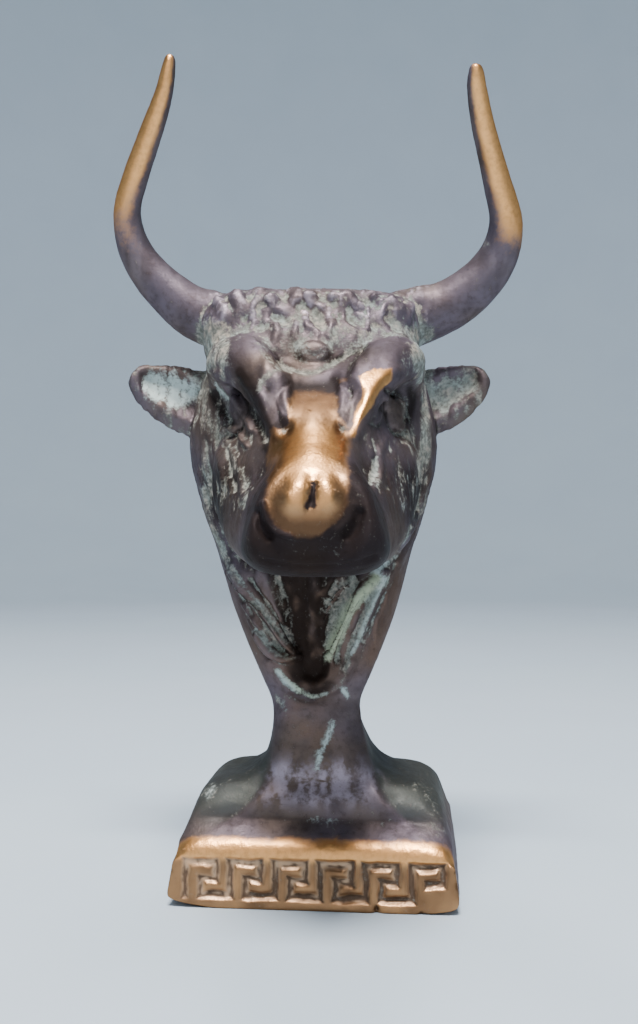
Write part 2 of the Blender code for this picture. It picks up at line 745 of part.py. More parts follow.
def groove(path):
    """A closed cutter along the groove, standing through the front of the foot."""
    half = KEY_STROKE / 2
    edges = [[], []]
    for i, here in enumerate(path):
        leaving = (path[min(i + 1, len(path) - 1)] - path[min(i, len(path) - 2)]).normalized()
        coming = (path[max(i, 1)] - path[max(i - 1, 0)]).normalized()
        square = Vector((-coming.y, coming.x))
        if coming != leaving:
            square += Vector((-leaving.y, leaving.x))
        elif i == 0:
            here = here - half * leaving
        for edge, side in zip(edges, (half, -half)):
            edge.append(here + side * square)
    outline = edges[0] + edges[1][::-1]
    face = -FOOT_DEPTH / 2
    shape = bmesh.new()
    deep = [shape.verts.new((p.x, face + FOOT_DRAFT * p.y + KEY_DEPTH, p.y)) for p in outline]
    clear = [shape.verts.new((p.x, face - KEY_DEPTH, p.y)) for p in outline]
    for i in range(len(outline)):
        shape.faces.new((deep[i - 1], deep[i], clear[i], clear[i - 1]))
    for row in (deep, clear):
        for i in range(len(path) - 1):
            shape.faces.new((row[i], row[i + 1], row[-2 - i], row[-1 - i]))
    bmesh.ops.recalc_face_normals(shape, faces=shape.faces)
    mesh = bpy.data.meshes.new("key")
    shape.to_mesh(mesh)
    shape.free()
    return mesh


def sink_key(thing):
    """Cuts the Greek key into the foot."""
    cutter = bpy.data.objects.new("key_cutter", groove(key_path()))
    bpy.context.collection.objects.link(cutter)
    cut = thing.modifiers.new("key", "BOOLEAN")
    cut.operation = "DIFFERENCE"
    cut.solver = "EXACT"
    cut.object = cutter
    bake(thing)
    bpy.data.objects.remove(cutter)


def bronze():
    material = bpy.data.materials.new("bronze")
    material.use_nodes = True
    shader = material.node_tree.nodes["Principled BSDF"]
    shader.inputs["Base Color"].default_value = BRONZE_COLOUR
    shader.inputs["Roughness"].default_value = BRONZE_ROUGHNESS
    shader.inputs["Metallic"].default_value = 1.0
    return material


def main():
    clear_scene()
    figure = sculpt()
    thin_out(figure, TRIANGLES)
    cut_flat_below(figure)
    sink_key(figure)
    turn_foot(figure.data)
    figure.data.transform(Matrix.Scale(MM, 4))
    figure.data.shade_smooth()
    figure.data.set_sharp_from_angle(angle=math.radians(40))
    figure.name = "bull_head"
    figure.data.materials.clear()
    figure.data.materials.append(bronze())


main()
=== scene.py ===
"""The looks of a cast bronze bull's head on its stem and foot.

The sculpture is built again with finer clay than the plain model: the same masses, then flame
shaped locks, ropes of hair, folds, lids, nostrils and wear, laid on by drawing on the front of
the figure as it is seen from straight ahead. Patina is worked out from the shape: verdigris lies
in the hollows and rubbed places show golden metal. Sizes are millimetres until the very end.
"""

import math

import bmesh
import bpy
import numpy as np
from mathutils import Matrix, Vector
from mathutils.bvhtree import BVHTree


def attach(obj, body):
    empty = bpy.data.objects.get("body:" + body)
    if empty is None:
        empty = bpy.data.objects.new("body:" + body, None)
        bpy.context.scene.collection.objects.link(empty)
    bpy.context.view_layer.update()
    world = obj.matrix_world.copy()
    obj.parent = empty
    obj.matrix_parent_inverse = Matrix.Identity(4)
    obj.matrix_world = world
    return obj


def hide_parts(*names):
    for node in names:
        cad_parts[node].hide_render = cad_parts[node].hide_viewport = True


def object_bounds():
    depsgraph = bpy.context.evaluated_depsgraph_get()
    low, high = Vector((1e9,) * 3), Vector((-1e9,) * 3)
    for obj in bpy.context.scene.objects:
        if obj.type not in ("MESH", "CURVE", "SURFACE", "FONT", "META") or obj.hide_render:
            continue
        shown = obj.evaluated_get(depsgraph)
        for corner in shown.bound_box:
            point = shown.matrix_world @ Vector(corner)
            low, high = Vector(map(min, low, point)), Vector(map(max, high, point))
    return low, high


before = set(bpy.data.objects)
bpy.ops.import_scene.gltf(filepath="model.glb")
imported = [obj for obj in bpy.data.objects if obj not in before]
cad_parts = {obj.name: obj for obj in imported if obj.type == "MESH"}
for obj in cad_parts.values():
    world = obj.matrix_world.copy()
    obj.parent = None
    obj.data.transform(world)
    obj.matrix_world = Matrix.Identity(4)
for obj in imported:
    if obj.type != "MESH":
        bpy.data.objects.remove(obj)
cad_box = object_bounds()

MM = 0.001

# Foot: a flat-sided slab whose top swells up to the stem like a cushion
FOOT_WIDTH = 40.0
FOOT_DEPTH = 30.0
FOOT_EDGE_HEIGHT = 8.0
FOOT_SWELL_HEIGHT = 8.2
FOOT_DRAFT = 0.14
FOOT_UNDER_ROUND = 0.8
FOOT_TOP_ROUND = 1.8
FOOT_TURN = math.radians(5.5)
FOOT_SHIFT = -0.6
FOOT_WEAR = 1.6

# Greek key sunk in the front of the foot
KEY_COUNT = 6
KEY_STROKE = 1.0
KEY_DEPTH = 0.6
KEY_BELOW = 1.3
KEY_ABOVE = 1.5
KEY_LEFT = 2.1
KEY_RIGHT = 2.0

# Stem and neck
STEM_WIDTH = 12.5
STEM_DEPTH = 12.2
STEM_WAIST_HEIGHT = 26.0
NECK_WIDTH = 36.6
NECK_SHIFT = -0.4
NECK_DEPTH = 31.0
NECK_WIDEST_HEIGHT = 63.0
CROWN_HEIGHT = 85.6
THROAT_DEPTH = 1.8

# Head
HEAD_LENGTH = 40.0
HEAD_WIDTH = 28.0
MUZZLE_WIDTH = 15.4
EYE_RADIUS = 2.3
LID_RADIUS = 0.75
SOCKET_DEPTH = 2.4
BRIDGE_DEPTH = 1.2

# Horns and ears
HORN_SPAN = 54.8
HORN_ROOT_RADIUS = 4.0
LEFT_HORN_RISE = 36.0
RIGHT_HORN_RISE = 32.9
LEFT_HORN_LEAN = 11.0
RIGHT_HORN_LEAN = 16.0
LEFT_EAR_REACH = 27.3
RIGHT_EAR_REACH = 25.2
EAR_HEIGHT = 9.8
EAR_THICKNESS = 3.6
EAR_CUP_DEPTH = 1.6

# Height of the ears' roots as a share of the crown's height
EAR_ROOT = 0.808

# Each horn's centreline and bulk: out, up and forward as shares of its reach, rise and lean
LEFT_HORN = (
    (0.25, -0.02, 0.02, 1.05),
    (0.59, 0.03, 0.05, 0.98),
    (0.80, 0.14, 0.12, 0.80),
    (0.943, 0.275, 0.22, 0.63),
    (0.989, 0.43, 0.36, 0.50),
    (0.927, 0.58, 0.52, 0.46),
    (0.84, 0.73, 0.70, 0.41),
    (0.772, 0.85, 0.86, 0.33),
    (0.738, 0.95, 0.97, 0.25),
    (0.732, 0.99, 1.0, 0.15),
)
RIGHT_HORN = (
    (0.25, -0.02, 0.02, 1.08),
    (0.525, 0.03, 0.05, 1.02),
    (0.755, 0.11, 0.12, 0.90),
    (0.93, 0.25, 0.24, 0.75),
    (0.98, 0.41, 0.38, 0.60),
    (0.915, 0.585, 0.54, 0.49),
    (0.835, 0.765, 0.74, 0.41),
    (0.792, 0.89, 0.89, 0.35),
    (0.78, 0.955, 0.97, 0.28),
    (0.781, 0.985, 1.0, 0.18),
)

# Clay: size of the rough and the fine remesh cells, how far each relaxing reaches (mm squared), and
# the most triangles kept
CLAY_CELL = 0.5
FINE_CELL = 0.27
ROUGH_SMOOTHING = 2.5
FIGURE_SMOOTHING = 0.35
LAST_SMOOTHING = 0.15
MOST_TRIANGLES = 190000


def smooth_rows(rows, count):
    """Rows of numbers read at count even steps along a smooth curve through them."""
    rows = np.array(rows, float)
    padded = np.vstack([2 * rows[0] - rows[1], rows, 2 * rows[-1] - rows[-2]])
    place = np.linspace(0, len(rows) - 1, count)
    first = np.minimum(place.astype(int), len(rows) - 2)
    t = (place - first)[:, None]
    before, start, end, after = (padded[first + step] for step in range(4))
    square = (2 * before - 5 * start + 4 * end - after) * t**2
    cube = (3 * start - before - 3 * end + after) * t**3
    return start + 0.5 * ((end - before) * t + square + cube)


def oval(half_width, half_depth, squareness, steps=48):
    """Points of an ellipse that grows squarer as squareness rises above 2."""
    turn = np.linspace(0, 2 * math.pi, steps, endpoint=False)
    across, along = np.cos(turn), np.sin(turn)
    power = 2 / squareness
    return (
        half_width * np.sign(across) * np.abs(across) ** power,
        half_depth * np.sign(along) * np.abs(along) ** power,
    )


def loft(rings):
    """A closed mesh through rings of points, flat over each end."""
    shape = bmesh.new()
    loops = [[shape.verts.new(point) for point in ring] for ring in rings]
    for lower, upper in zip(loops, loops[1:]):
        for i in range(len(lower)):
            shape.faces.new((lower[i - 1], lower[i], upper[i], upper[i - 1]))
    shape.faces.new(loops[0])
    shape.faces.new(loops[-1])
    bmesh.ops.recalc_face_normals(shape, faces=shape.faces)
    mesh = bpy.data.meshes.new("mass")
    shape.to_mesh(mesh)
    shape.free()
    return mesh


def sweep(rows, across, count=24, steps=20):
    """A closed mesh along rows of x, y, z, half width, half thickness; the width lies along across."""
    thinnest = 0.05
    path = smooth_rows(rows, count)
    centres = path[:, :3]
    heading = np.gradient(centres, axis=0)
    heading /= np.linalg.norm(heading, axis=1)[:, None]
    thick = np.cross(heading, np.array(across, float))
    thick /= np.linalg.norm(thick, axis=1)[:, None]
    wide = np.cross(thick, heading)
    u, v = oval(1, 1, 2, steps)
    return loft(
        [
            centre + np.outer(u * max(w, thinnest), sideways) + np.outer(v * max(h, thinnest), through)
            for centre, w, h, sideways, through in zip(centres, path[:, 3], path[:, 4], wide, thick)
        ]
    )


def ball(centre, radii, squareness=2.0):
    """A closed ellipsoid, or a squarer pebble."""
    rise = np.linspace(-0.97, 0.97, 17)
    rings = []
    for t in rise:
        share = (1 - abs(t) ** squareness) ** (1 / squareness)
        u, v = oval(radii[0] * share, radii[1] * share, squareness, 32)
        z = np.full_like(u, radii[2] * t)
        rings.append(np.array(centre) + np.column_stack([u, v, z]))
    return loft(rings)


def ease(x):
    x = np.clip(x, 0, 1)
    return x * x * (3 - 2 * x)


def in_head(out, forward, up):
    """A place given as shares of the head's half width, its length and the crown's height."""
    return Vector((out * HEAD_WIDTH / 2, -forward * HEAD_LENGTH, up * CROWN_HEIGHT))


def in_scale(out, forward, up):
    """Radii given as the same shares."""
    return out * HEAD_WIDTH / 2, forward * HEAD_LENGTH, up * CROWN_HEIGHT


def head_rows(side, rows):
    """Rows for a sweep on one side of the head; widths are shares of the head's half width."""
    scale = HEAD_WIDTH / 2
    return [(*in_head(side * x, y, z), w * scale, t * scale) for x, y, z, w, t in rows]


def upright_rows():
    """The foot, stem and neck from below: height, half width, front, back, squareness.

    The slab is a little oversize at its sides, which are pressed flat later.
    """
    press = FOOT_UNDER_ROUND
    wide, deep = FOOT_WIDTH / 2, FOOT_DEPTH / 2
    waist_wide, waist_deep = STEM_WIDTH / 2, STEM_DEPTH / 2
    edge, swell, waist = FOOT_EDGE_HEIGHT, FOOT_SWELL_HEIGHT, STEM_WAIST_HEIGHT
    top = edge + swell
    bevel = FOOT_TOP_ROUND
    neck_wide, neck_deep = NECK_WIDTH / 2, NECK_DEPTH / 2
    widest, crown = NECK_WIDEST_HEIGHT, CROWN_HEIGHT
    rise, cap = widest - waist, crown - widest
    flare = waist - top
    back, front = 1.16 * neck_deep, 0.84 * neck_deep
    rows = [
        (-2 * press, wide - press, deep - press, deep - press, 16),
        (0, wide - press, deep - press, deep - press, 16),
        (press, wide + press, deep + press, deep + press, 16),
        (edge - bevel, wide + press, deep + press, deep + press, 16),
        (edge - 0.2 * bevel, 0.965 * wide, 0.99 * deep, deep, 16),
        (edge + 0.10 * swell, 0.93 * wide, 0.92 * deep, 0.96 * deep, 14),
        (edge + 0.42 * swell, 0.89 * wide, 0.745 * deep, 0.92 * deep, 9),
        (edge + 0.72 * swell, 0.845 * wide, 0.62 * deep, 0.84 * deep, 7),
        (edge + 0.92 * swell, 0.74 * wide, 0.55 * deep, 0.72 * deep, 6),
        (top, 0.58 * wide, 0.52 * deep, 0.58 * deep, 5),
        (top + 0.20 * flare, 1.32 * waist_wide, 1.28 * waist_deep, 1.25 * waist_deep, 5),
        (top + 0.60 * flare, 1.06 * waist_wide, 1.09 * waist_deep, 1.06 * waist_deep, 5),
        (waist, waist_wide, waist_deep, waist_deep, 5),
        (waist + 0.11 * rise, 0.435 * neck_wide, 0.53 * front, 0.44 * back, 3.8),
        (waist + 0.24 * rise, 0.555 * neck_wide, 0.60 * front, 0.56 * back, 2.8),
        (waist + 0.40 * rise, 0.675 * neck_wide, 0.71 * front, 0.72 * back, 2.5),
        (waist + 0.60 * rise, 0.79 * neck_wide, 0.84 * front, 0.88 * back, 2.3),
        (waist + 0.80 * rise, 0.92 * neck_wide, 0.95 * front, 0.97 * back, 2.3),
        (widest, neck_wide, front, back, 2.3),
        (widest + 0.30 * cap, 0.95 * neck_wide, 0.95 * front, 0.95 * back, 2.4),
        (widest + 0.58 * cap, 0.82 * neck_wide, 0.8 * front, 0.8 * back, 2.4),
        (widest + 0.80 * cap, 0.66 * neck_wide, 0.55 * front, 0.6 * back, 2.4),
        (widest + 0.95 * cap, 0.4 * neck_wide, 0.3 * front, 0.3 * back, 2.2),
    ]
    return smooth_rows(rows, 120)


def stand_and_neck():
    """Foot, stem and neck as one upright loft; the neck stands a little to one side."""
    rings = []
    for z, half, front, back, squareness in upright_rows():
        u, v = oval(half, (front + back) / 2, max(squareness, 2), 72)
        rise = (z - STEM_WAIST_HEIGHT) / (NECK_WIDEST_HEIGHT - STEM_WAIST_HEIGHT)
        u += NECK_SHIFT * ease(rise)
        rings.append(np.column_stack([u, v + (back - front) / 2, np.full_like(u, z)]))
    return loft(rings)


def skull():
    """Forehead, face and muzzle: each row gives the forehead or nose line, the jaw line and a width.

    Lines are (share of the head's length forward, share of the crown's height), widths are shares
    of the head's width; taper narrows the top of the section.
    """
    rows = [
        (-0.12, 0.965, -0.12, 0.66, 0.60, 0.00, 2.3),
        (0.07, 0.975, 0.05, 0.62, 0.88, 0.06, 2.4),
        (0.25, 0.917, 0.22, 0.567, 0.96, 0.16, 2.5),
        (0.40, 0.859, 0.37, 0.543, 0.93, 0.26, 2.5),
        (0.55, 0.804, 0.51, 0.534, 0.81, 0.36, 2.6),
        (0.70, 0.751, 0.65, 0.534, 0.69, 0.38, 2.8),
        (0.83, 0.714, 0.78, 0.536, 0.625, 0.33, 3.2),
        (0.925, 0.691, 0.88, 0.541, 0.61, 0.27, 3.4),
        (0.980, 0.664, 0.945, 0.553, 0.59, 0.20, 3.2),
        (1.0, 0.636, 0.985, 0.576, 0.48, 0.12, 2.6),
    ]
    muzzle_row = 0.61
    widening = MUZZLE_WIDTH / (HEAD_WIDTH * muzzle_row) - 1
    rings = []
    for nose, nose_up, jaw, jaw_up, width, taper, squareness in smooth_rows(rows, 50):
        top = np.array(in_head(0, nose, nose_up))
        low = np.array(in_head(0, jaw, jaw_up))
        half = width * HEAD_WIDTH / 2 * (1 + widening * min(max(nose, 0), 1))
        u, v = oval(1, 1, squareness, 56)
        middle, reach = (top + low) / 2, (top - low) / 2
        rings.append(middle + np.outer(v, reach) + np.outer(u * half * (1 - taper * v), (1, 0, 0)))
    return loft(rings)


def both_sides(build):
    """The same mass on the left and on the right."""
    return [build(-1), build(1)]


def brow(side):
    """The heavy pad from the bridge of the nose up and out over the eye."""
    rows = [
        (0.28, 0.685, 0.732, 0.06, 0.07),
        (0.335, 0.615, 0.762, 0.12, 0.135),
        (0.44, 0.515, 0.806, 0.185, 0.205),
        (0.62, 0.42, 0.850, 0.257, 0.243),
        (0.785, 0.32, 0.869, 0.265, 0.243),
        (0.885, 0.22, 0.861, 0.22, 0.215),
        (0.93, 0.125, 0.829, 0.157, 0.157),
    ]
    return sweep(head_rows(side, rows), (1, 0, 0.3))


def cheek(side):
    return ball(in_head(0.61 * side, 0.24, 0.678), in_scale(0.42, 0.26, 0.105))


def horn(side):
    """One horn, out from the crown, up, and in again at the tip."""
    lean, rise, rows = (
        (RIGHT_HORN_LEAN, RIGHT_HORN_RISE, RIGHT_HORN)
        if side > 0
        else (LEFT_HORN_LEAN, LEFT_HORN_RISE, LEFT_HORN)
    )
    root = in_head(0, 0.012, 0.946)
    path = []
    for out, up, forward, bulk in rows:
        radius = HORN_ROOT_RADIUS * bulk
        place = root + Vector((side * out * HORN_SPAN / 2, -lean * forward, up * rise))
        path.append((*place, radius, radius))
    return sweep(path, (0, 1, 0), 48)


def ear(side):
    """A leaf that points outward and a little up, its open face to the front."""
    tip = RIGHT_EAR_REACH if side > 0 else LEFT_EAR_REACH
    half = EAR_HEIGHT / 2
    thick = EAR_THICKNESS / 2
    rows = [
        (0.48, 0.33, -0.15, 0.85, 1.2),
        (0.62, 0.25, 0.05, 1.0, 1.05),
        (0.76, 0.12, 0.32, 0.95, 0.95),
        (0.87, 0.02, 0.58, 0.76, 0.85),
        (0.95, -0.06, 0.83, 0.50, 0.75),
        (0.99, -0.10, 0.95, 0.26, 0.55),
    ]
    root = EAR_ROOT * CROWN_HEIGHT
    path = [(x * tip * side, y * half, root + z * half, w * half, t * thick) for x, y, z, w, t in rows]
    return sweep(path, (-0.25 * side, 0, 1))


def nose(side):
    """One of the two low bosses of the nose."""
    return ball(in_head(0.125 * side, 0.962, 0.652), in_scale(0.20, 0.045, 0.031))


def crown():
    """The band of the poll between the horns, which carries the curls."""
    return ball(in_head(-0.05, 0.0425, 0.922), in_scale(1.11, 0.23, 0.0715), 4.0)


def forehead():
    return ball(in_head(0, 0.255, 0.88), in_scale(0.79, 0.11, 0.054), 2.4)


def seen(skin, place, way):
    """Where a line along way through place first meets the skin, and the skin's normal there."""
    way = Vector(way).normalized()
    spot, normal = skin.ray_cast(Vector(place) - CROWN_HEIGHT * way, way)[:2]
    if spot is None:
        spot, normal = skin.find_nearest(place)[:2]
    return spot, normal


def on_face(skin, out, up):
    """The place on the front of the head at shares of its half width and the crown's height."""
    return seen(skin, in_head(out, 0.5, up), (0, 1, 0))


def strand(spots, radii, lift=0.1, count=28):
    """A rope of clay through spots of the skin, raised by a share of its own radius."""
    rows = []
    for (spot, normal), radius in zip(spots, radii):
        rows.append((*(spot + lift * radius * normal), radius, radius))
    return sweep(rows, (1, 0.1, 0), count, 12)


def eye(skin, side):
    """The ball of the eye in its socket, with the two lids bent over it."""
    gaze = Vector((0.82 * side, -0.56, 0.10)).normalized()
    ahead = Vector((0, 0, side)).cross(gaze).normalized()
    over = ahead.cross(gaze) * side
    spot = seen(skin, in_head(0.82 * side, 0.35, 0.785), -gaze)[0]
    centre = spot - 0.1 * EYE_RADIUS * gaze
    parts = [ball(centre, (EYE_RADIUS,) * 3)]
    for lift, reach in ((0.72, 1.0), (-0.62, 0.95)):
        rows = []
        for turn in np.linspace(-1.35, 1.35, 7):
            way = math.sin(turn) * ahead + math.cos(turn) * lift * over + 0.62 * gaze
            place = centre + EYE_RADIUS * 1.06 * way.normalized()
            thick = LID_RADIUS * reach * (0.65 + 0.35 * math.cos(turn))
            rows.append((*place, thick, thick))
        parts.append(sweep(rows, gaze, 20, 10))
    return parts


def whorl(skin):
    """The small boss in the middle of the forehead."""
    spot = on_face(skin, -0.02, 0.876)[0]
    return ball(spot, in_scale(0.17, 0.035, 0.019))


def fuse(masses, cell):
    """One skin over all the masses, as an object."""
    together = bmesh.new()
    for mass in masses:
        together.from_mesh(mass)
    mesh = bpy.data.meshes.new("clay")
    together.to_mesh(mesh)
    together.free()
    lump = bpy.data.objects.new("clay", mesh)
    bpy.context.collection.objects.link(lump)
    skin = lump.modifiers.new("skin", "REMESH")
    skin.mode = "VOXEL"
    skin.voxel_size = cell
    return bake(lump)


def bake(thing):
    """Applies the object's modifiers."""
    graph = bpy.context.evaluated_depsgraph_get()
    graph.update()
    mesh = bpy.data.meshes.new_from_object(thing.evaluated_get(graph))
    thing.modifiers.clear()
    thing.data = mesh
    return thing


def points_of(mesh):
    points = np.empty(len(mesh.vertices) * 3)
    mesh.vertices.foreach_get("co", points)
    return points.reshape(-1, 3)


def normals_of(mesh):
    normals = np.empty(len(mesh.vertices) * 3, np.float32)
    mesh.vertex_normals.foreach_get("vector", normals)
    return normals.reshape(-1, 3).astype(float)


def set_points(mesh, points):
    mesh.vertices.foreach_set("co", points.ravel())
    mesh.update()


def relax(mesh, smoothing, cell=FINE_CELL):
    """Moves each vertex half way to the middle of its neighbours, over and over."""
    ends = np.empty(len(mesh.edges) * 2, int)
    mesh.edges.foreach_get("vertices", ends)
    a, b = ends.reshape(-1, 2).T
    points = points_of(mesh)
    count = np.bincount(a, minlength=len(points)) + np.bincount(b, minlength=len(points))
    for _ in range(max(1, round(smoothing / cell**2))):
        total = np.zeros_like(points)
        for axis in range(3):
            total[:, axis] += np.bincount(a, points[b, axis], len(points))
            total[:, axis] += np.bincount(b, points[a, axis], len(points))
        points += 0.5 * (total / count[:, None] - points)
    set_points(mesh, points)


def near(points, centre, radii):
    """1 at the centre of an ellipsoid, falling smoothly to 0 at its skin."""
    away = np.linalg.norm((points - np.array(centre)) / np.array(radii), axis=1)
    return ease(1 - away)


def carve(mesh, depth_of):
    """Sinks each vertex along its normal by the depth that depth_of gives for all the points."""
    points = points_of(mesh)
    normals = normals_of(mesh)
    set_points(mesh, points - normals * depth_of(points, normals)[:, None])


def sockets(points, normals):
    """Sinks the eye sockets and the two sides of the bridge of the nose."""
    depth = np.zeros(len(points))
    for side in (-1, 1):
        socket = near(points, in_head(0.88 * side, 0.38, 0.778), in_scale(0.33, 0.15, 0.054))
        bridge = near(points, in_head(0.49 * side, 0.70, 0.69), in_scale(0.25, 0.225, 0.058))
        depth += SOCKET_DEPTH * socket + BRIDGE_DEPTH * bridge
    return depth


def ear_cups(points, normals):
    """Hollows the front of the ears, leaving a rim."""
    half = EAR_HEIGHT / 2
    depth = np.zeros(len(points))
    facing = ease(-normals[:, 1] * 2.2 - 0.4)
    for side, tip in ((-1, LEFT_EAR_REACH), (1, RIGHT_EAR_REACH)):
        out = side * points[:, 0] / tip
        middle = EAR_ROOT * CROWN_HEIGHT + half * np.interp(out, [0.6, 1], [0.02, 0.95])
        room = half * np.interp(out, [0.6, 0.76, 0.9, 0.99], [0.66, 0.72, 0.5, 0.18])
        inside = ease(1.35 * (1 - np.abs(points[:, 2] - middle) / room))
        reach = ease((out - 0.56) / 0.1) * ease((0.97 - out) / 0.07)
        depth += EAR_CUP_DEPTH * facing * inside * reach
    return depth


def throat(points, normals):
    """The V below the jaw, sunk between the ropes of the mane, with the dewlap down its middle."""
    x, y, z = points.T
    out = (x + 0.3) / (NECK_WIDTH / 2)
    up = (z - STEM_WAIST_HEIGHT) / (NECK_WIDEST_HEIGHT - STEM_WAIST_HEIGHT)
    spread = np.interp(up, [0.07, 0.12, 0.2, 0.38, 0.65], [0.0, 0.12, 0.15, 0.29, 0.52])
    inside = ease((spread - np.abs(out)) / 0.09) * ease((up - 0.07) / 0.04)
    inside *= ease((0.72 - up) / 0.16) * ease(-normals[:, 1] * 3)
    inside *= ease((y / HEAD_LENGTH + 0.45) / 0.125)
    dewlap = ease(1 - np.abs(out) / 0.09) * ease((up - 0.13) / 0.1)
    return THROAT_DEPTH * inside * (1 - 0.7 * dewlap)


def rough_figure():
    """The plain masses of foot, neck and head, before the features are laid on."""
    masses = [stand_and_neck(), skull(), crown(), forehead()]
    masses += both_sides(cheek) + both_sides(brow) + both_sides(nose)
    clay = fuse(masses, CLAY_CELL)
    relax(clay.data, ROUGH_SMOOTHING, CLAY_CELL)
    carve(clay.data, sockets)
    return clay


def skin_of(thing):
    """A tree for finding places on the object's surface."""
    return BVHTree.FromObject(thing, bpy.context.evaluated_depsgraph_get())


def press_foot(mesh):
    """Presses the sides of the foot flat, with a little draft, and wears one bottom corner round."""
    points = points_of(mesh)
    x, y, z = points.T
    below = z < FOOT_EDGE_HEIGHT + FOOT_TOP_ROUND
    wide = FOOT_WIDTH / 2 - FOOT_DRAFT * z
    deep = FOOT_DEPTH / 2 - FOOT_DRAFT * z
    points[below, 0] = np.clip(x, -wide, wide)[below]
    points[below, 1] = np.clip(y, -deep, deep)[below]
    corner = ease(-0.45 - 1.6 * x / FOOT_WIDTH) * ease(-1.2 - 4.4 * y / FOOT_DEPTH)
    points[:, 2] += FOOT_WEAR * corner * ease((FOOT_EDGE_HEIGHT - z) / FOOT_EDGE_HEIGHT)
    set_points(mesh, points)


def turn_foot(mesh):
    """Turns and shifts the foot a little about the middle of its front, as the casting came out."""
    points = points_of(mesh)
    x, y, z = points.T
    top = FOOT_EDGE_HEIGHT + FOOT_SWELL_HEIGHT
    front = FOOT_DEPTH / 2
    angle = FOOT_TURN * ease((STEM_WAIST_HEIGHT - z) / (STEM_WAIST_HEIGHT - top))
    across = x * np.cos(angle) + (y + front) * np.sin(angle)
    back = (y + front) * np.cos(angle) - x * np.sin(angle)
    shift = FOOT_SHIFT / FOOT_TURN * angle
    set_points(mesh, np.column_stack([across + shift, back - front, z]))


def key_path():
    """Centreline of the key's groove, as (across, up) corners."""
    half = KEY_STROKE / 2
    low, high = KEY_BELOW + half, FOOT_EDGE_HEIGHT - KEY_ABOVE - half
    middle = (low + high) / 2
    start = -FOOT_WIDTH / 2 + KEY_LEFT + half
    inner, outer = 0.34, 0.66
    pitch = (FOOT_WIDTH - KEY_LEFT - KEY_RIGHT - KEY_STROKE) / (KEY_COUNT - 1 + outer)
    corners = []
    for unit in range(KEY_COUNT):
        x = start + unit * pitch
        corners += [(x, low), (x, high), (x + outer * pitch, high), (x + outer * pitch, middle)]
        corners += [(x + inner * pitch, middle), (x + inner * pitch, low)]
    return [Vector(corner) for corner in corners[:-1]]


# The front as the eye sees it, in units of the view: the eye (mm), the middle of the view, its focal
# length, the column down the middle of the nose, and the mm that one unit spans at the figure
EYE = Vector((0.4, -172.0, 53.7))
SIGHT_CENTRE = (319.0, 512.0)
SIGHT_FOCUS = 1170.0
NOSE_COLUMN = 309
UNIT = 0.147

# Camera: focal length and sensor (mm)
LENS = 41.1
SENSOR = 36.0

# Whole numbers and factors that turn a cell's place into its value in the noise
SCRAMBLE = np.array([73856093, 19349663, 83492791])
SEED_STEP = 1013
SEED_SHIFT = 13.7
SCRAMBLE_ROUND = 65521
SCRAMBLE_TURN = 12.9898
SCRAMBLE_STRETCH = 43758.5453


def sight(points):
    """Where the eye sees each point, in units of the view: across from the left, down from the top."""
    away = points - np.array(EYE)
    across = SIGHT_CENTRE[0] + SIGHT_FOCUS * away[:, 0] / away[:, 1]
    down = SIGHT_CENTRE[1] - SIGHT_FOCUS * away[:, 2] / away[:, 1]
    return across, down


def at_sight(skin, across, down, start=EYE.y):
    """The first place on the skin along that line of sight behind y = start, and its normal."""
    way = Vector(((across - SIGHT_CENTRE[0]) / SIGHT_FOCUS, 1, (SIGHT_CENTRE[1] - down) / SIGHT_FOCUS))
    spot, normal = skin.ray_cast(EYE + way * (start - EYE.y), way.normalized())[:2]
    if spot is None:
        spot, normal = skin.find_nearest(EYE + way * -EYE.y)[:2]
    return spot, normal


def noise(points, cell, seed=0):
    """Smooth noise between -1 and 1 with features of about cell."""
    place = points / cell + SEED_SHIFT * seed
    base = np.floor(place).astype(np.int64)
    t = place - base
    t = t * t * (3 - 2 * t)
    total = np.zeros(len(points))
    for corner in range(8):
        step = np.array([corner & 1, corner >> 1 & 1, corner >> 2 & 1])
        key = (base + step) @ SCRAMBLE + SEED_STEP * seed
        value = np.sin((key % SCRAMBLE_ROUND) * SCRAMBLE_TURN) * SCRAMBLE_STRETCH
        value -= np.floor(value)
        total += value * np.prod(np.where(step, t, 1 - t), axis=1)
    return 2 * total - 1


def layered(points, cell, seed=0):
    """Noise with two layers of finer and weaker noise on top."""
    shares = (1, 0.5, 0.25)
    total = np.zeros(len(points))
    for i, share in enumerate(shares):
        total += noise(points, cell * share, seed + i) * share
    return total / sum(shares)


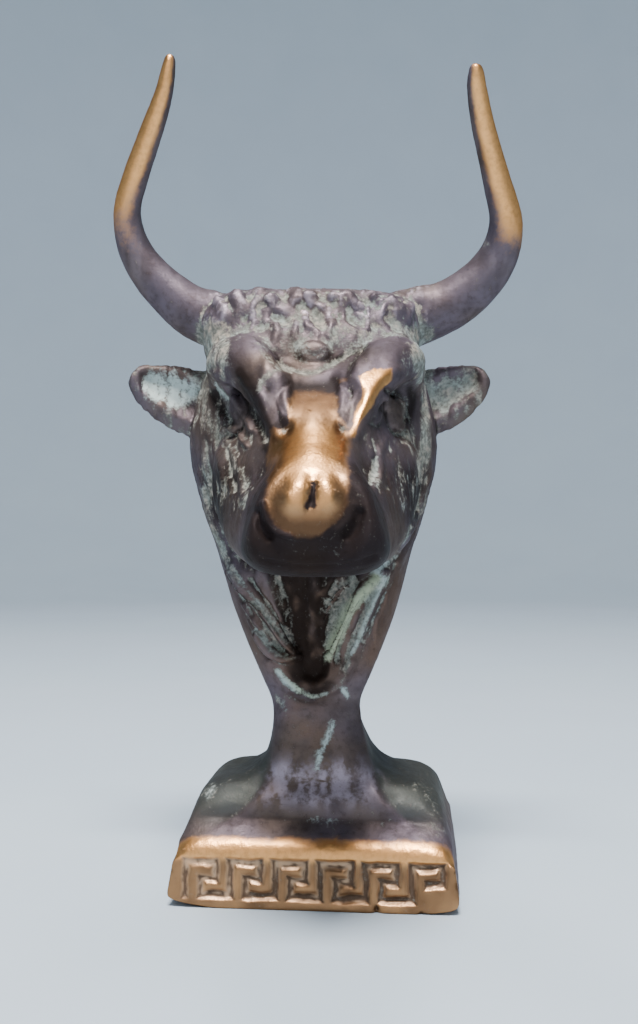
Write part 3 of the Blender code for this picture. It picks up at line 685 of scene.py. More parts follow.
class Figure:
    """The fine mesh while it is being worked: its points, their view and its skin."""

    def __init__(self, mesh):
        self.mesh = mesh
        self.refresh()

    def refresh(self):
        self.points = points_of(self.mesh)
        self.normals = normals_of(self.mesh)
        self.across, self.down = sight(self.points)
        self.facing = ease(-self.normals[:, 1] * 1.6 + 0.25)

    def push(self, heights):
        """Moves the points out along their normals."""
        set_points(self.mesh, self.points + self.normals * heights[:, None])
        self.refresh()

    def stroke(self, path, radius):
        """1 along a line drawn in the view, falling to 0 at radius (units of the view)."""
        path = smooth_rows(path, 6 * len(path))
        out = np.zeros(len(self.points))
        low, high = path.min(0) - radius, path.max(0) + radius
        near_by = (self.across > low[0]) & (self.across < high[0])
        near_by &= (self.down > low[1]) & (self.down < high[1]) & (self.facing > 0)
        place = np.column_stack([self.across, self.down])[near_by]
        away = np.full(len(place), np.inf)
        for a, b in zip(path, path[1:]):
            span = b - a
            share = np.clip((place - a) @ span / (span @ span + 1e-9), 0, 1)
            away = np.minimum(away, np.linalg.norm(place - a - share[:, None] * span, axis=1))
        out[near_by] = ease(1 - away / radius)
        return out * self.facing

    def panel(self, rows, soft, sway=0.0):
        """1 between two edges given by rows of down, middle, half width; soft is the edges' blur."""
        down, middle, half = np.array(rows, float).T
        across = self.across + sway * layered(self.points, 1.6, 61)
        low = self.down + sway * layered(self.points, 1.6, 71)
        place = np.clip(low, down[0], down[-1])
        inside = np.interp(place, down, half) - np.abs(across - np.interp(place, down, middle))
        ends = np.minimum(low - down[0], down[-1] - low)
        return ease(0.5 + np.minimum(inside, ends) / soft) * self.facing

    def spot(self, across, down, width, height, softness=0.5):
        """1 inside an ellipse of the view, fading to 0 at its rim."""
        away = np.hypot((self.across - across) / width, (self.down - down) / height)
        return ease((1 - away) / softness) * self.facing

    def draw(self, values, rows):
        """Adds to the values the strokes in rows of path, radius and amount."""
        for path, radius, amount in rows:
            values += amount * self.stroke(path, radius)


# Ridges and grooves of the front, drawn in the view: height (mm), radius, then the line
RELIEF = (
    # left frown ribbon with the groove down its middle
    (0.22, 10, ((296, 378), (284, 377), (274, 383), (271, 394), (275, 405), (281, 418))),
    (-0.16, 3.6, ((288, 384), (281, 391), (281, 401), (285, 411))),
    (0.25, 8, ((287, 386), (284, 400), (285, 415))),
    (-0.9, 15, ((270, 388), (276, 408), (281, 426))),
    (-0.35, 24, ((236, 334), (241, 352), (255, 374))),
    (0.5, 15, ((268, 366), (278, 378))),
    # right frown ribbon, beside the golden crest
    (0.22, 10, ((338, 382), (348, 380), (356, 387), (353, 399), (348, 411), (346, 424))),
    (-0.16, 3.6, ((343, 387), (349, 391), (347, 400), (344, 410))),
    (0.25, 8, ((342, 386), (344, 402), (344, 417))),
    (-0.7, 14, ((354, 391), (352, 409), (347, 426))),
    (-0.35, 24, ((400, 332), (390, 346), (374, 360))),
    (0.5, 14, ((352, 362), (342, 374))),
    (0.5, 14, ((392, 372), (382, 382), (371, 397), (361, 412), (354, 430))),
    # upper fold over the left eye, and its lower lid
    (0.55, 6, ((217, 373), (232, 394), (245, 414), (252, 430))),
    (-0.35, 7, ((236, 383), (248, 403), (258, 422), (264, 440))),
    (0.5, 4, ((222, 432), (229, 429), (237, 431), (242, 439), (247, 446))),
    (-0.3, 8, ((214, 392), (219, 404), (226, 416), (234, 424))),
    (0.5, 5.5, ((222, 417), (225, 419))),
    # right eye, its lids and the pits about it
    (0.55, 7, ((386, 399), (386, 406))),
    (0.5, 6, ((378, 413), (376, 421))),
    (-0.6, 5, ((386, 389), (392, 394))),
    (-0.3, 7, ((400, 396), (408, 410), (404, 424))),
    # bands down the right cheek
    (0.3, 5, ((367, 428), (369, 440), (373, 455))),
    (0.22, 6, ((384, 440), (379, 456), (382, 470), (375, 492))),
    (-0.18, 5, ((372, 440), (375, 456), (371, 482))),
    (-0.15, 6, ((392, 442), (387, 462), (389, 488))),
    # bands down the left cheek
    (0.3, 5, ((214, 444), (219, 462), (226, 486))),
    (-0.3, 5, ((224, 446), (229, 466), (234, 490))),
    (0.25, 5, ((234, 452), (239, 472), (242, 500))),
    (-0.25, 5, ((204, 440), (208, 462), (216, 492))),
    # the ridge of the nose, its two bosses and the slit between them
    (0.25, 30, ((309, 424), (310, 445), (311, 465))),
    (0.55, 22, ((297, 490), (292, 499))),
    (0.55, 20, ((327, 487), (331, 496))),
    (-0.14, 12, ((312, 478), (312, 492), (311, 512))),
    (-0.42, 3.4, ((314, 484), (313, 493), (311, 502))),
    (-0.18, 5.0, ((311, 499), (309, 507))),
    # nostrils: a raised rim round a hollow
    (0.5, 5, ((263, 503), (267, 519), (276, 531), (292, 537))),
    (-0.7, 7, ((256, 512), (260, 526), (269, 537))),
    (0.2, 6, ((353, 505), (348, 519), (338, 530))),
    (-0.5, 7, ((360, 512), (356, 526), (347, 536))),
    # ropes left of the throat, with the loop at their foot
    (0.4, 7, ((232, 566), (245, 588), (258, 606))),
    (0.9, 6, ((231, 572), (246, 592), (262, 612), (278, 634), (292, 652))),
    (-0.5, 5, ((240, 594), (255, 615), (270, 636), (282, 650))),
    (-0.6, 4.5, ((250, 580), (266, 602), (282, 624), (297, 645))),
    (0.9, 5, ((257, 634), (266, 648), (282, 659), (298, 656))),
    (-0.5, 4, ((262, 632), (272, 644), (284, 650))),
    (0.5, 4, ((244, 604), (256, 622), (270, 640))),
    # leaf, groove and band right of the throat
    (0.45, 9, ((372, 582), (354, 599), (340, 622), (332, 643), (326, 656))),
    (-0.55, 5, ((374, 590), (362, 604), (349, 626), (341, 648), (337, 662))),
    (0.4, 6, ((386, 572), (375, 597), (364, 622), (354, 648), (345, 668))),
    (-0.35, 5, ((396, 566), (386, 592), (376, 616), (364, 642))),
    (0.35, 6, ((332, 578), (326, 594), (336, 600))),
    # lips
    (-0.35, 5, ((262, 560), (290, 566), (320, 567), (350, 565), (376, 557))),
    # whorl: a ring with a dimple, and the crease under the poll
    (0.15, 13, ((310, 354), (318, 353))),
    (
        0.15,
        5,
        ((301, 354), (303, 347), (313, 343), (324, 347), (327, 354), (319, 360), (307, 360), (301, 354)),
    ),
    (-0.15, 4, ((308, 352), (313, 355), (320, 353))),
    (-0.3, 4.5, ((268, 358), (282, 364), (300, 371), (318, 370), (334, 362), (352, 353))),
)


# Front of the stem and of the foot's slope, which stands out between its two hips: rows of down,
# middle, half width
FRONT_SLOPE = (
    (690, 320, 42),
    (730, 320, 44),
    (752, 320, 46),
    (770, 321, 51),
    (787, 321, 57),
    (800, 321, 65),
    (815, 321, 80),
    (835, 321, 110),
    (860, 321, 150),
)


def relief(figure):
    """Pushes the drawn ridges and grooves out of the front of the head."""
    height = np.zeros(len(figure.points))
    for rise, radius, path in RELIEF:
        height += rise * figure.stroke(path, radius)
    fading = ease((838 - figure.down) / 45) * ease((figure.down - 694) / 20)
    height += 0.6 * fading * figure.panel(FRONT_SLOPE, 14)
    rim = ((268, 664), (276, 676), (290, 689), (311, 696), (331, 691), (344, 678), (352, 662))
    height += 0.45 * figure.stroke(rim, 8)
    figure.push(height)


# Points along each lock and rope, and the row of the view above which a lock runs on over the poll
STRAND_STEPS = 9
ROOT_ROW = 305

# Flame shaped locks of the poll: width at the root, then the line from root to tip
LOCKS = (
    (11.0, ((206, 293), (202, 306), (205, 322), (200, 337))),
    (10.5, ((222, 287), (217, 301), (224, 314), (221, 334), (226, 345))),
    (12.5, ((240, 285), (236, 296), (243, 308), (238, 322), (246, 338))),
    (11.0, ((258, 286), (260, 299), (252, 309), (258, 320), (270, 328))),
    (12.0, ((277, 285), (270, 298), (278, 309), (291, 317), (287, 330))),
    (10.5, ((293, 286), (297, 298), (290, 308), (300, 318), (311, 325))),
    (13.0, ((312, 285), (308, 297), (317, 306), (331, 312), (329, 326))),
    (11.0, ((330, 285), (334, 297), (341, 305), (336, 316), (343, 327))),
    (12.5, ((350, 285), (346, 296), (356, 305), (370, 312), (374, 326))),
    (11.0, ((367, 286), (373, 297), (383, 305), (380, 318), (386, 331))),
    (12.5, ((386, 287), (390, 300), (399, 309), (395, 324), (402, 336))),
    (11.0, ((404, 291), (410, 304), (407, 317), (413, 330))),
    (8.0, ((213, 312), (218, 324), (212, 338), (216, 348))),
    (8.5, ((231, 314), (232, 328), (240, 337), (237, 350))),
    (8.0, ((248, 311), (254, 325), (250, 336), (262, 346))),
    (9.0, ((266, 309), (268, 322), (278, 331), (274, 343), (284, 352))),
    (8.0, ((285, 313), (296, 323), (294, 335), (302, 346))),
    (8.5, ((304, 312), (306, 325), (318, 332), (314, 344))),
    (8.5, ((322, 313), (331, 324), (328, 335), (337, 346))),
    (8.0, ((343, 311), (344, 324), (355, 332), (351, 344))),
    (8.5, ((358, 314), (368, 324), (365, 336), (372, 348))),
    (8.0, ((377, 312), (380, 325), (390, 333), (387, 345))),
    (8.0, ((394, 315), (402, 326), (398, 338), (405, 350))),
)


def locks(skin):
    """The locks of the poll, each a root and a tip drawn in the view and two finer strands beside it."""
    masses = []
    for i, (width, path) in enumerate(LOCKS):
        for shift, bulk in ((0, 0.85), (-0.36, 0.5), (0.38, 0.45)):
            rows = smooth_rows(path, STRAND_STEPS)
            radii = []
            spots = []
            if path[0][1] < ROOT_ROW:
                root = at_sight(skin, path[0][0] + shift * width, path[0][1] + 2)[0]
                for back, sway, size in ((8.5, 1.2 * math.sin(2.1 * i), 0.8), (4.0, 0.8, 1.0)):
                    spots.append(seen(skin, root + Vector((sway, back, 0)), (0, 0, -1)))
                    radii.append(0.5 * width * bulk * size * UNIT * 2)
            for j, (across, down) in enumerate(rows):
                share = j / (STRAND_STEPS - 1)
                across += shift * width * (1 - 0.5 * share)
                spots.append(at_sight(skin, float(across), float(down)))
                size = 0.5 * width * bulk * (1 - 0.75 * share**1.5) * (0.75 + 0.5 * min(1, 3 * share))
                radii.append(float(size * UNIT))
            lift = 0.2 if shift or len(spots) == len(rows) else 0.0
            masses.append(strand(spots, radii, lift, 22))
    return masses


# Ropes of the mane beside the throat: width, then the line from top to bottom
ROPES = (
    (10, ((199, 470), (207, 500), (216, 530), (232, 562), (248, 585), (264, 603))),
    (9, ((207, 498), (222, 536), (240, 566), (258, 590), (272, 612), (288, 634), (297, 650))),
    (8, ((222, 560), (236, 582), (252, 606), (262, 620), (276, 634), (285, 643))),
    (11, ((248, 618), (262, 636), (277, 652), (294, 664))),
    (8, ((262, 655), (277, 664), (290, 676), (302, 688))),
    (15, ((382, 568), (372, 580), (360, 595), (350, 611), (341, 629), (334, 643), (329, 657))),
    (9, ((400, 560), (388, 579), (377, 598), (369, 617), (361, 637), (354, 654), (345, 671))),
    (10, ((432, 470), (420, 500), (410, 528), (396, 551), (382, 568))),
    (8, ((424, 500), (414, 530), (404, 552), (392, 570))),
    (7, ((350, 586), (340, 596), (331, 608), (324, 622))),
)

# Lines of sight to the ropes start behind the muzzle, at this y (mm)
BEHIND_MUZZLE = -18.0


def ropes(skin):
    """The ropes of the mane, each with a finer strand along one side."""
    masses = []
    for width, path in ROPES:
        for shift, bulk in ((0, 1.0), (0.5, 0.5)):
            rows = smooth_rows(path, STRAND_STEPS)
            spots = [at_sight(skin, float(a + shift * width), float(d), BEHIND_MUZZLE) for a, d in rows]
            ends = [0.55 + 0.45 * math.sin(math.pi * (j + 0.5) / STRAND_STEPS) for j in range(STRAND_STEPS)]
            masses.append(strand(spots, [0.5 * width * bulk * UNIT * end for end in ends], 0.0, 40))
    return masses


def fine_sculpt():
    """The figure again, with the finer locks and ropes."""
    clay = rough_figure()
    skin = skin_of(clay)
    masses = [clay.data, whorl(skin)] + locks(skin) + ropes(skin)
    masses += both_sides(horn) + both_sides(ear)
    for side in (-1, 1):
        masses += eye(skin, side)
    figure = fuse(masses, FINE_CELL)
    relax(figure.data, FIGURE_SMOOTHING)
    carve(figure.data, throat)
    carve(figure.data, ear_cups)
    relax(figure.data, LAST_SMOOTHING)
    bpy.data.objects.remove(clay)
    press_foot(figure.data)
    return figure


def refine_foot_face(mesh):
    """Splits the faces where the key lies, so that its worn edges can be drawn."""
    shape = bmesh.new()
    shape.from_mesh(mesh)
    front = -FOOT_DEPTH / 2 + 2.2
    edges = [
        edge
        for edge in shape.edges
        if all(v.co.y < front and 0.4 < v.co.z < FOOT_EDGE_HEIGHT + 0.6 for v in edge.verts)
    ]
    bmesh.ops.subdivide_edges(shape, edges=edges, cuts=1, use_grid_fill=True)
    bmesh.ops.triangulate(shape, faces=[face for face in shape.faces if len(face.verts) > 4])
    shape.to_mesh(mesh)
    shape.free()


def key_groove(points):
    """1 in the groove of the key, 0 outside, with the uneven edges of a worn casting."""
    y, z = points.T[1:]
    sway = np.column_stack([noise(points, 1.6, 41), noise(points, 1.6, 42)])
    place = points[:, (0, 2)] + 0.16 * sway
    path = np.array([tuple(corner) for corner in key_path()])
    away = np.full(len(points), np.inf)
    for a, b in zip(path, path[1:]):
        span = b - a
        share = np.clip((place - a) @ span / (span @ span), 0, 1)
        away = np.minimum(away, np.abs(place - a - share[:, None] * span).max(axis=1))
    half = 0.50 * KEY_STROKE + 0.14 * noise(points, 3.0, 43)
    front = ease((-FOOT_DEPTH / 2 + 2.0 - y) / 0.5) * ease((FOOT_EDGE_HEIGHT - 0.4 - z) / 0.5)
    return ease(0.5 + (half - away) / 0.7) * front


# Chips out of the lower front edge: across, half width, height, depth (mm)
CHIPS = ((8.7, 0.35, 1.1, 0.6), (14.7, 0.4, 0.5, 0.5))


def wear_key(mesh):
    """Sinks the key into the front of the foot, shallower where it is worn, and chips the edge."""
    points = points_of(mesh)
    x, y, z = points.T
    groove = key_groove(points)
    depth = KEY_DEPTH + 0.14 * noise(points, 5.0, 44) - 0.16 * ease((-6 - x) / 10)
    bed = 0.10 * layered(points, 0.8, 45)
    points[:, 1] += groove * (depth + bed)
    for across, wide, tall, deep in CHIPS:
        chip = ease(1.4 - np.hypot((x - across) / wide, z / tall)) * (y < -FOOT_DEPTH / 2 + 3)
        points[:, 1] += deep * chip
    set_points(mesh, points)
    return groove


def soften(mesh, share, smoothing):
    """Relaxes the surface where share is 1 and leaves it where it is 0."""
    before = points_of(mesh)
    other = mesh.copy()
    relax(other, smoothing)
    set_points(mesh, before + share[:, None] * (points_of(other) - before))
    bpy.data.meshes.remove(other)


# Radius of the foot's worn lower front corners
CORNER_RADIUS = 2.2

# Depth of the nose down its middle: down in the view, then y (mm)
NOSE_PROFILE = (
    (430, -29.6),
    (440, -31.9),
    (450, -33.9),
    (460, -35.6),
    (470, -36.95),
    (480, -38.0),
    (490, -38.75),
    (500, -39.25),
    (510, -39.5),
    (520, -39.5),
    (530, -39.3),
    (540, -38.9),
    (550, -38.3),
    (560, -37.6),
    (570, -36.7),
    (585, -35.0),
)


def round_nose(figure):
    """Turns the end of the muzzle over in one round knob."""
    down, depth = np.array(NOSE_PROFILE, float).T
    target = np.interp(figure.down, down, depth) + 1.3 * ((figure.across - NOSE_COLUMN) / 46) ** 2
    knob = figure.spot(NOSE_COLUMN, 512, 66, 74, 0.45) * ease((-figure.points[:, 1] - 26) / 4)
    places = figure.points.copy()
    places[:, 1] += knob * (target - places[:, 1])
    set_points(figure.mesh, places)
    figure.refresh()


def wear_edges(figure):
    """Rounds the foot's top edge, the nose, the brows and the throat, and evens the top of the poll."""
    x, y, z = figure.points.T
    edge = ease((z - 5.8) / 1.2) * ease((11.5 - z) / 2.0) * ease((-y - 11.5) / 1.5)
    throat_bed = 0.7 * figure.spot(309, 625, 26, 62) * ease((z - 29) / 2)
    ends = figure.spot(282, 406, 26, 40) + figure.spot(348, 406, 24, 40) + figure.spot(312, 384, 50, 24)
    soften(figure.mesh, np.minimum(1, throat_bed + ends), 6.0)
    soften(figure.mesh, edge, 13.0)
    pads = figure.spot(246, 376, 44, 46) + figure.spot(386, 364, 44, 36) + figure.spot(309, 480, 60, 70)
    eye_bed = figure.spot(394, 410, 26, 30)
    soften(figure.mesh, np.minimum(1, pads + eye_bed), 2.4)
    heights = figure.spot(236, 350, 34, 40) + figure.spot(398, 346, 34, 36)
    soften(figure.mesh, np.minimum(1, heights + 0.7 * figure.spot(250, 385, 40, 50)), 10.0)
    poll = ease((z - 83.6) / 1.2) * ease((17 - np.abs(x)) / 2)
    soften(figure.mesh, poll, 1.8)
    places = points_of(figure.mesh)
    x, y, z = places.T
    low = np.clip(CORNER_RADIUS - z, 0, CORNER_RADIUS)
    inset = CORNER_RADIUS - np.sqrt(CORNER_RADIUS**2 - low**2)
    places[:, 0] -= np.sign(x) * inset * ease((np.abs(x) - 12) / 6) * ease((-y - 6) / 6)
    places[:, 1] += 1.4 * ease((z - 7.2) / 4.2) * ease((15.5 - z) / 4.5) * ease((-y - 9) / 3)
    set_points(figure.mesh, places)


def texture_relief(figure):
    """Strands of hair, striations of the cheeks, and the unevenness of the casting."""
    x, y, z = figure.points.T
    height = 0.05 * layered(figure.points, 3.0, 5)
    height += 0.35 * figure.spot(309, 630, 40, 60) * layered(figure.points, 2.2, 15)
    height += 0.025 * noise(figure.points, 0.7, 8)
    stretched = figure.points * np.array([1.0, 0.5, 0.2])
    cheeks = ease((z - 50) / 6) * ease((80 - z) / 6) * ease((np.abs(x) - 4) / 4)
    cheeks *= ease((np.abs(x) / 14 - 0.2) * 2) * (y < 2)
    pads = figure.spot(250, 375, 48, 64) + figure.spot(386, 362, 48, 54) + figure.spot(309, 470, 70, 110)
    cheeks *= 1 - np.minimum(1, pads)
    height += 0.18 * cheeks * noise(stretched, 0.55, 3)
    mane = ease((z - 30) / 8) * ease((64 - z) / 8) * ease((-y - 2) / 4) * ease((y + 24) / 4)
    height += 0.10 * mane * noise(stretched, 0.5, 4)
    poll = ease((z - 76.5) / 3) * ease((17.5 - np.abs(x)) / 3) * ease(0.6 - y / 12)
    swirl = figure.points + 1.3 * np.column_stack([noise(figure.points, 4.0, 51 + i) for i in range(3)])
    curls = 1 - np.abs(noise(swirl * np.array([1.0, 0.8, 0.5]), 1.9, 6)) * 2
    height += poll * (0.18 * curls + 0.10 * noise(swirl * np.array([1.0, 0.8, 0.4]), 0.5, 7))
    height += 0.35 * poll * ease((z - 83) / 2)
    figure.push(height)


def hollows(mesh, smoothing):
    """How far each point lies below (+) or above (-) the relaxed surface, in mm."""
    points = points_of(mesh)
    normals = normals_of(mesh)
    other = mesh.copy()
    relax(other, smoothing)
    out = ((points_of(other) - points) * normals).sum(1)
    bpy.data.meshes.remove(other)
    return out


def store(mesh, name, values):
    layer = mesh.attributes.new(name, "FLOAT", "POINT")
    layer.data.foreach_set("value", np.clip(values, 0, 1).astype(np.float32))


# Whitish verdigris drawn in the view: path, radius, amount
CHALKS = (
    (((279, 672), (286, 682), (297, 690)), 7, 1.0),
    (((299, 691), (312, 697), (326, 694)), 5, 0.7),
    (((332, 722), (330, 734), (323, 748), (318, 758), (317, 769)), 6, 1.2),
    (((344, 690), (348, 697)), 7, 0.9),
    (((281, 698), (287, 712)), 6, 0.5),
    (((379, 575), (364, 592), (350, 610), (341, 629), (333, 645), (328, 657)), 11, 0.9),
    (((386, 581), (376, 597), (368, 616), (360, 636), (352, 653)), 5, 0.6),
    (((254, 626), (264, 640), (280, 652), (292, 660)), 6, 0.35),
    (((232, 566), (248, 590), (262, 606)), 4, 0.3),
    (((378, 566), (385, 562)), 7, 0.9),
    (((404, 505), (398, 520)), 6, 0.7),
    (((380, 444), (377, 462), (375, 486)), 7, 0.25),
    (((212, 379), (226, 398)), 6, 0.5),
    (((205, 800), (210, 792)), 8, 0.6),
    (((310, 822), (335, 821)), 8, 0.6),
    (((382, 822), (392, 818)), 6, 0.6),
    (((424, 345), (432, 352)), 9, 0.6),
    (((300, 350), (326, 350)), 14, 0.3),
)

# Lines of thick verdigris drawn in the view: path, radius, amount
CRUSTS = (
    (
        ((258, 390), (264, 378), (278, 370), (292, 370), (302, 373), (318, 371), (336, 362), (350, 352)),
        6,
        0.85,
    ),
    (((262, 352), (272, 362), (290, 370)), 6, 0.6),
    (((258, 343), (272, 348), (288, 344), (300, 340)), 11, 0.45),
    (((332, 342), (350, 346), (366, 342)), 11, 0.45),
    (((202, 345), (206, 370), (204, 400), (208, 430)), 9, 0.6),
    (((417, 350), (423, 380), (425, 410), (424, 450), (420, 480)), 9, 0.7),
    (((212, 530), (230, 568), (246, 590), (266, 612), (279, 632), (296, 652)), 8, 0.7),
    (((256, 632), (267, 646), (280, 656), (296, 658)), 6, 0.8),
    (((203, 492), (210, 522), (222, 552)), 9, 0.55),
    (((300, 348), (313, 356), (328, 350)), 16, 0.5),
    (((262, 574), (274, 592), (284, 612)), 6, 0.35),
    (((278, 671), (286, 681), (298, 690)), 6, 1.3),
    (((300, 691), (312, 696), (326, 694), (340, 684), (350, 664)), 5, 0.7),
    (((377, 579), (364, 592), (349, 610), (340, 629), (333, 642), (328, 657)), 9, 1.2),
    (((386, 579), (375, 597), (367, 616), (359, 636), (352, 653), (344, 669)), 5, 1.0),
    (((410, 528), (396, 551), (382, 567), (374, 572)), 6, 0.9),
    (((340, 584), (332, 596), (324, 610)), 6, 0.5),
    (((368, 436), (371, 452), (376, 488)), 8, 0.3),
    (((383, 444), (378, 462), (381, 475), (376, 492)), 6, 0.35),
    (((400, 430), (408, 440), (414, 430)), 6, 0.5),
    (((240, 470), (247, 495), (245, 520)), 9, 0.45),
    (((228, 440), (233, 458), (237, 470)), 6, 0.4),
    (((332, 722), (327, 737), (322, 748), (317, 769)), 4, 0.9),
    (((276, 697), (281, 704)), 5, 0.7),
    (((343, 690), (347, 695)), 5, 0.8),
    (((205, 790), (215, 775), (240, 765)), 18, 0.35),
    (((400, 770), (430, 790), (440, 830)), 16, 0.25),
    (((480, 238), (488, 245)), 7, 0.7),
    (((197, 330), (205, 345)), 8, 0.6),
    (((425, 345), (440, 350)), 8, 0.6),
)

# The golden face of the nose and the golden crest of the right brow: down, middle, half width
PLATEAU = (
    (392, 314, 20),
    (400, 313, 24),
    (412, 313, 26),
    (422, 312, 29),
    (430, 310, 38),
    (440, 309, 40),
    (470, 308, 40),
    (489, 307, 40),
    (505, 307, 40),
    (517, 306, 35),
    (528, 304, 24),
    (537, 303, 8),
)
CREST = (
    (369, 384, 8),
    (375, 376, 16),
    (381, 376, 15),
    (389, 372, 9),
    (398, 369, 7),
    (405, 365, 8),
    (413, 360, 7),
    (420, 356, 5),
    (430, 353, 3),
    (437, 353, 1),
)

# Rubbed golden places: path, radius, amount
RUBBED = (
    (((338, 381), (346, 379)), 5, 0.35),
    (((340, 420), (346, 428)), 5, 0.3),
)

# Darker places: the forehead and the brow pads, and painted shade in the eye pits and along the left brow's
# groove: path, radius, amount
SHADES = (
    (((298, 390), (312, 388), (332, 386)), 15, 0.9),
    (((230, 344), (245, 364), (258, 390), (266, 424)), 26, 0.6),
    (((345, 366), (370, 352), (396, 348)), 22, 0.6),
    (((392, 391), (396, 396)), 6, 1.0),
    (((410, 380), (412, 400), (408, 420)), 8, 0.7),
    (((214, 395), (222, 412), (230, 424)), 10, 0.7),
    (((240, 372), (252, 400), (262, 430), (266, 450)), 7, 0.6),
)

# The two frown ribbons and the slit of the nose, drawn in the view
LEFT_RIBBON = ((294, 381), (284, 379), (276, 386), (274, 397), (277, 408), (281, 421))
RIGHT_RIBBON = ((338, 383), (347, 381), (354, 388), (352, 400), (347, 411), (346, 423))
UPPER_SLIT = ((314, 484), (313, 491), (311, 499), (307, 507))
LOWER_SLIT = ((312, 499), (314, 506))

# Down the middle of the throat, over its bed and over its painted shade and rust
THROAT_BED = ((308, 566), (308, 600), (306, 640), (311, 680))
THROAT_SHADE_AND_RUST = ((306, 560), (308, 600), (309, 640), (311, 680))


class Regions:
    """Parts of the surface, 1 inside and 0 outside, and measures of it, for the patina."""

    def __init__(self, figure, groove):
        x, y, z = figure.points.T
        stroke = figure.stroke
        self.groove = groove
        self.fine, self.broad = hollows(figure.mesh, 0.5), hollows(figure.mesh, 4.0)
        self.rough = layered(figure.points, 2.2, 11)
        self.out = np.abs(x)
        self.flank = ease((self.out - 5) / 3)
        self.hair = ease((z - 76) / 3) * ease((90 - z) / 3) * (self.out < 17) * ease(0.6 - y / 8)
        self.left_cup = figure.spot(168, 388, 36, 26, 0.4)
        self.cups = self.left_cup + figure.spot(452, 392, 34, 28, 0.4)
        self.face = figure.panel(PLATEAU, 15, 4.0)
        ribbons = np.maximum(stroke(LEFT_RIBBON, 12), stroke(RIGHT_RIBBON, 12))
        self.ribbons = ease(2.2 * ribbons)
        self.slit = np.maximum(stroke(UPPER_SLIT, 4.2), stroke(LOWER_SLIT, 4.6))
        self.foot_face = ease((10.4 + 0.25 * self.rough - z) / 2.4) * ease((-y - 11.5) / 1.6)
        # Where painted shade and rust lie down the throat
        self.throat = stroke(THROAT_SHADE_AND_RUST, 42)
        self.slope = figure.panel(FRONT_SLOPE, 16)
        self.film = ease((z - 8.0 - self.rough) / 6) * ease((26 - z + self.rough) / 7)
        self.film *= 1 - ease(1.5 * self.slope)


def whitish_crust(figure, at):
    amount = 1.0 * at.left_cup + 0.2 * at.cups
    figure.draw(amount, CHALKS)
    return amount


def thick_verdigris(figure, at, chalk):
    """Verdigris, which gathers in hollows, hair, ears and ropes and stays off the throat and nose."""
    y, z = figure.points.T[1:]
    deep = ease(at.fine / 0.06) * 0.6 + ease(at.broad / 0.25) * 0.6
    neck = ease((z - 30) / 5) * ease((66 - z) / 5)
    amount = deep * (0.85 * at.hair + 0.75 * neck + 0.30)
    amount += 0.22 * at.hair + 0.25 * at.hair * ease((82 - z) / 4) * figure.facing
    amount += 0.75 * (figure.spot(212, 345, 22, 34) + figure.spot(424, 350, 20, 36))
    amount += 1.0 * at.cups * ease(0.7 - 3 * np.maximum(0, -at.broad))
    figure.draw(amount, CRUSTS)
    cheeks = ease((at.out - 8) / 5) * ease((z - 46) / 8) * ease((80 - z) / 6) * figure.facing
    grime = noise(figure.points * np.array([1.0, 0.5, 0.25]), 0.7, 41)
    amount += cheeks * (0.32 + 0.55 * grime)
    nose_end = ease((-y - 27) / 6)
    amount *= 1 - 0.9 * nose_end
    amount -= 0.5 * nose_end
    amount *= 1 - 0.85 * figure.stroke(THROAT_BED, 34)
    amount += 0.35 * at.rough - 0.12 + 0.2 * layered(figure.points, 0.9, 21)
    amount += 0.12 * at.film * at.flank
    amount += 0.5 * (chalk - at.left_cup - 0.2 * at.cups)
    return amount


def rubbed_metal(figure, at):
    """Gold on the horns' tips, the nose, the crest of the right brow and the front of the foot."""
    x, z = figure.points[:, 0], figure.points[:, 2]
    left_tip = ease((z - 88 + 1.5 * at.rough) / 16) * ease((-x - 5) / 3)
    right_tip = ease((z - 87 + 1.5 * at.rough) / 12) * ease((x - 5) / 3)
    outside = ease(0.45 + 0.55 * figure.normals[:, 0] * np.sign(x) - 0.45 * figure.normals[:, 1])
    amount = (left_tip + right_tip) * outside * 1.1
    amount += (0.95 * at.face + 1.0 * figure.panel(CREST, 6, 1.5)) * (1 - 0.9 * at.ribbons)
    amount += 0.12 * at.face * at.rough
    amount -= 1.2 * ease(1.3 * at.slit)
    figure.draw(amount, RUBBED)
    amount += at.foot_face * (0.85 + 0.3 * ease(-at.broad / 0.25) + 0.15 * at.rough)
    amount -= 0.12 * at.groove
    return amount


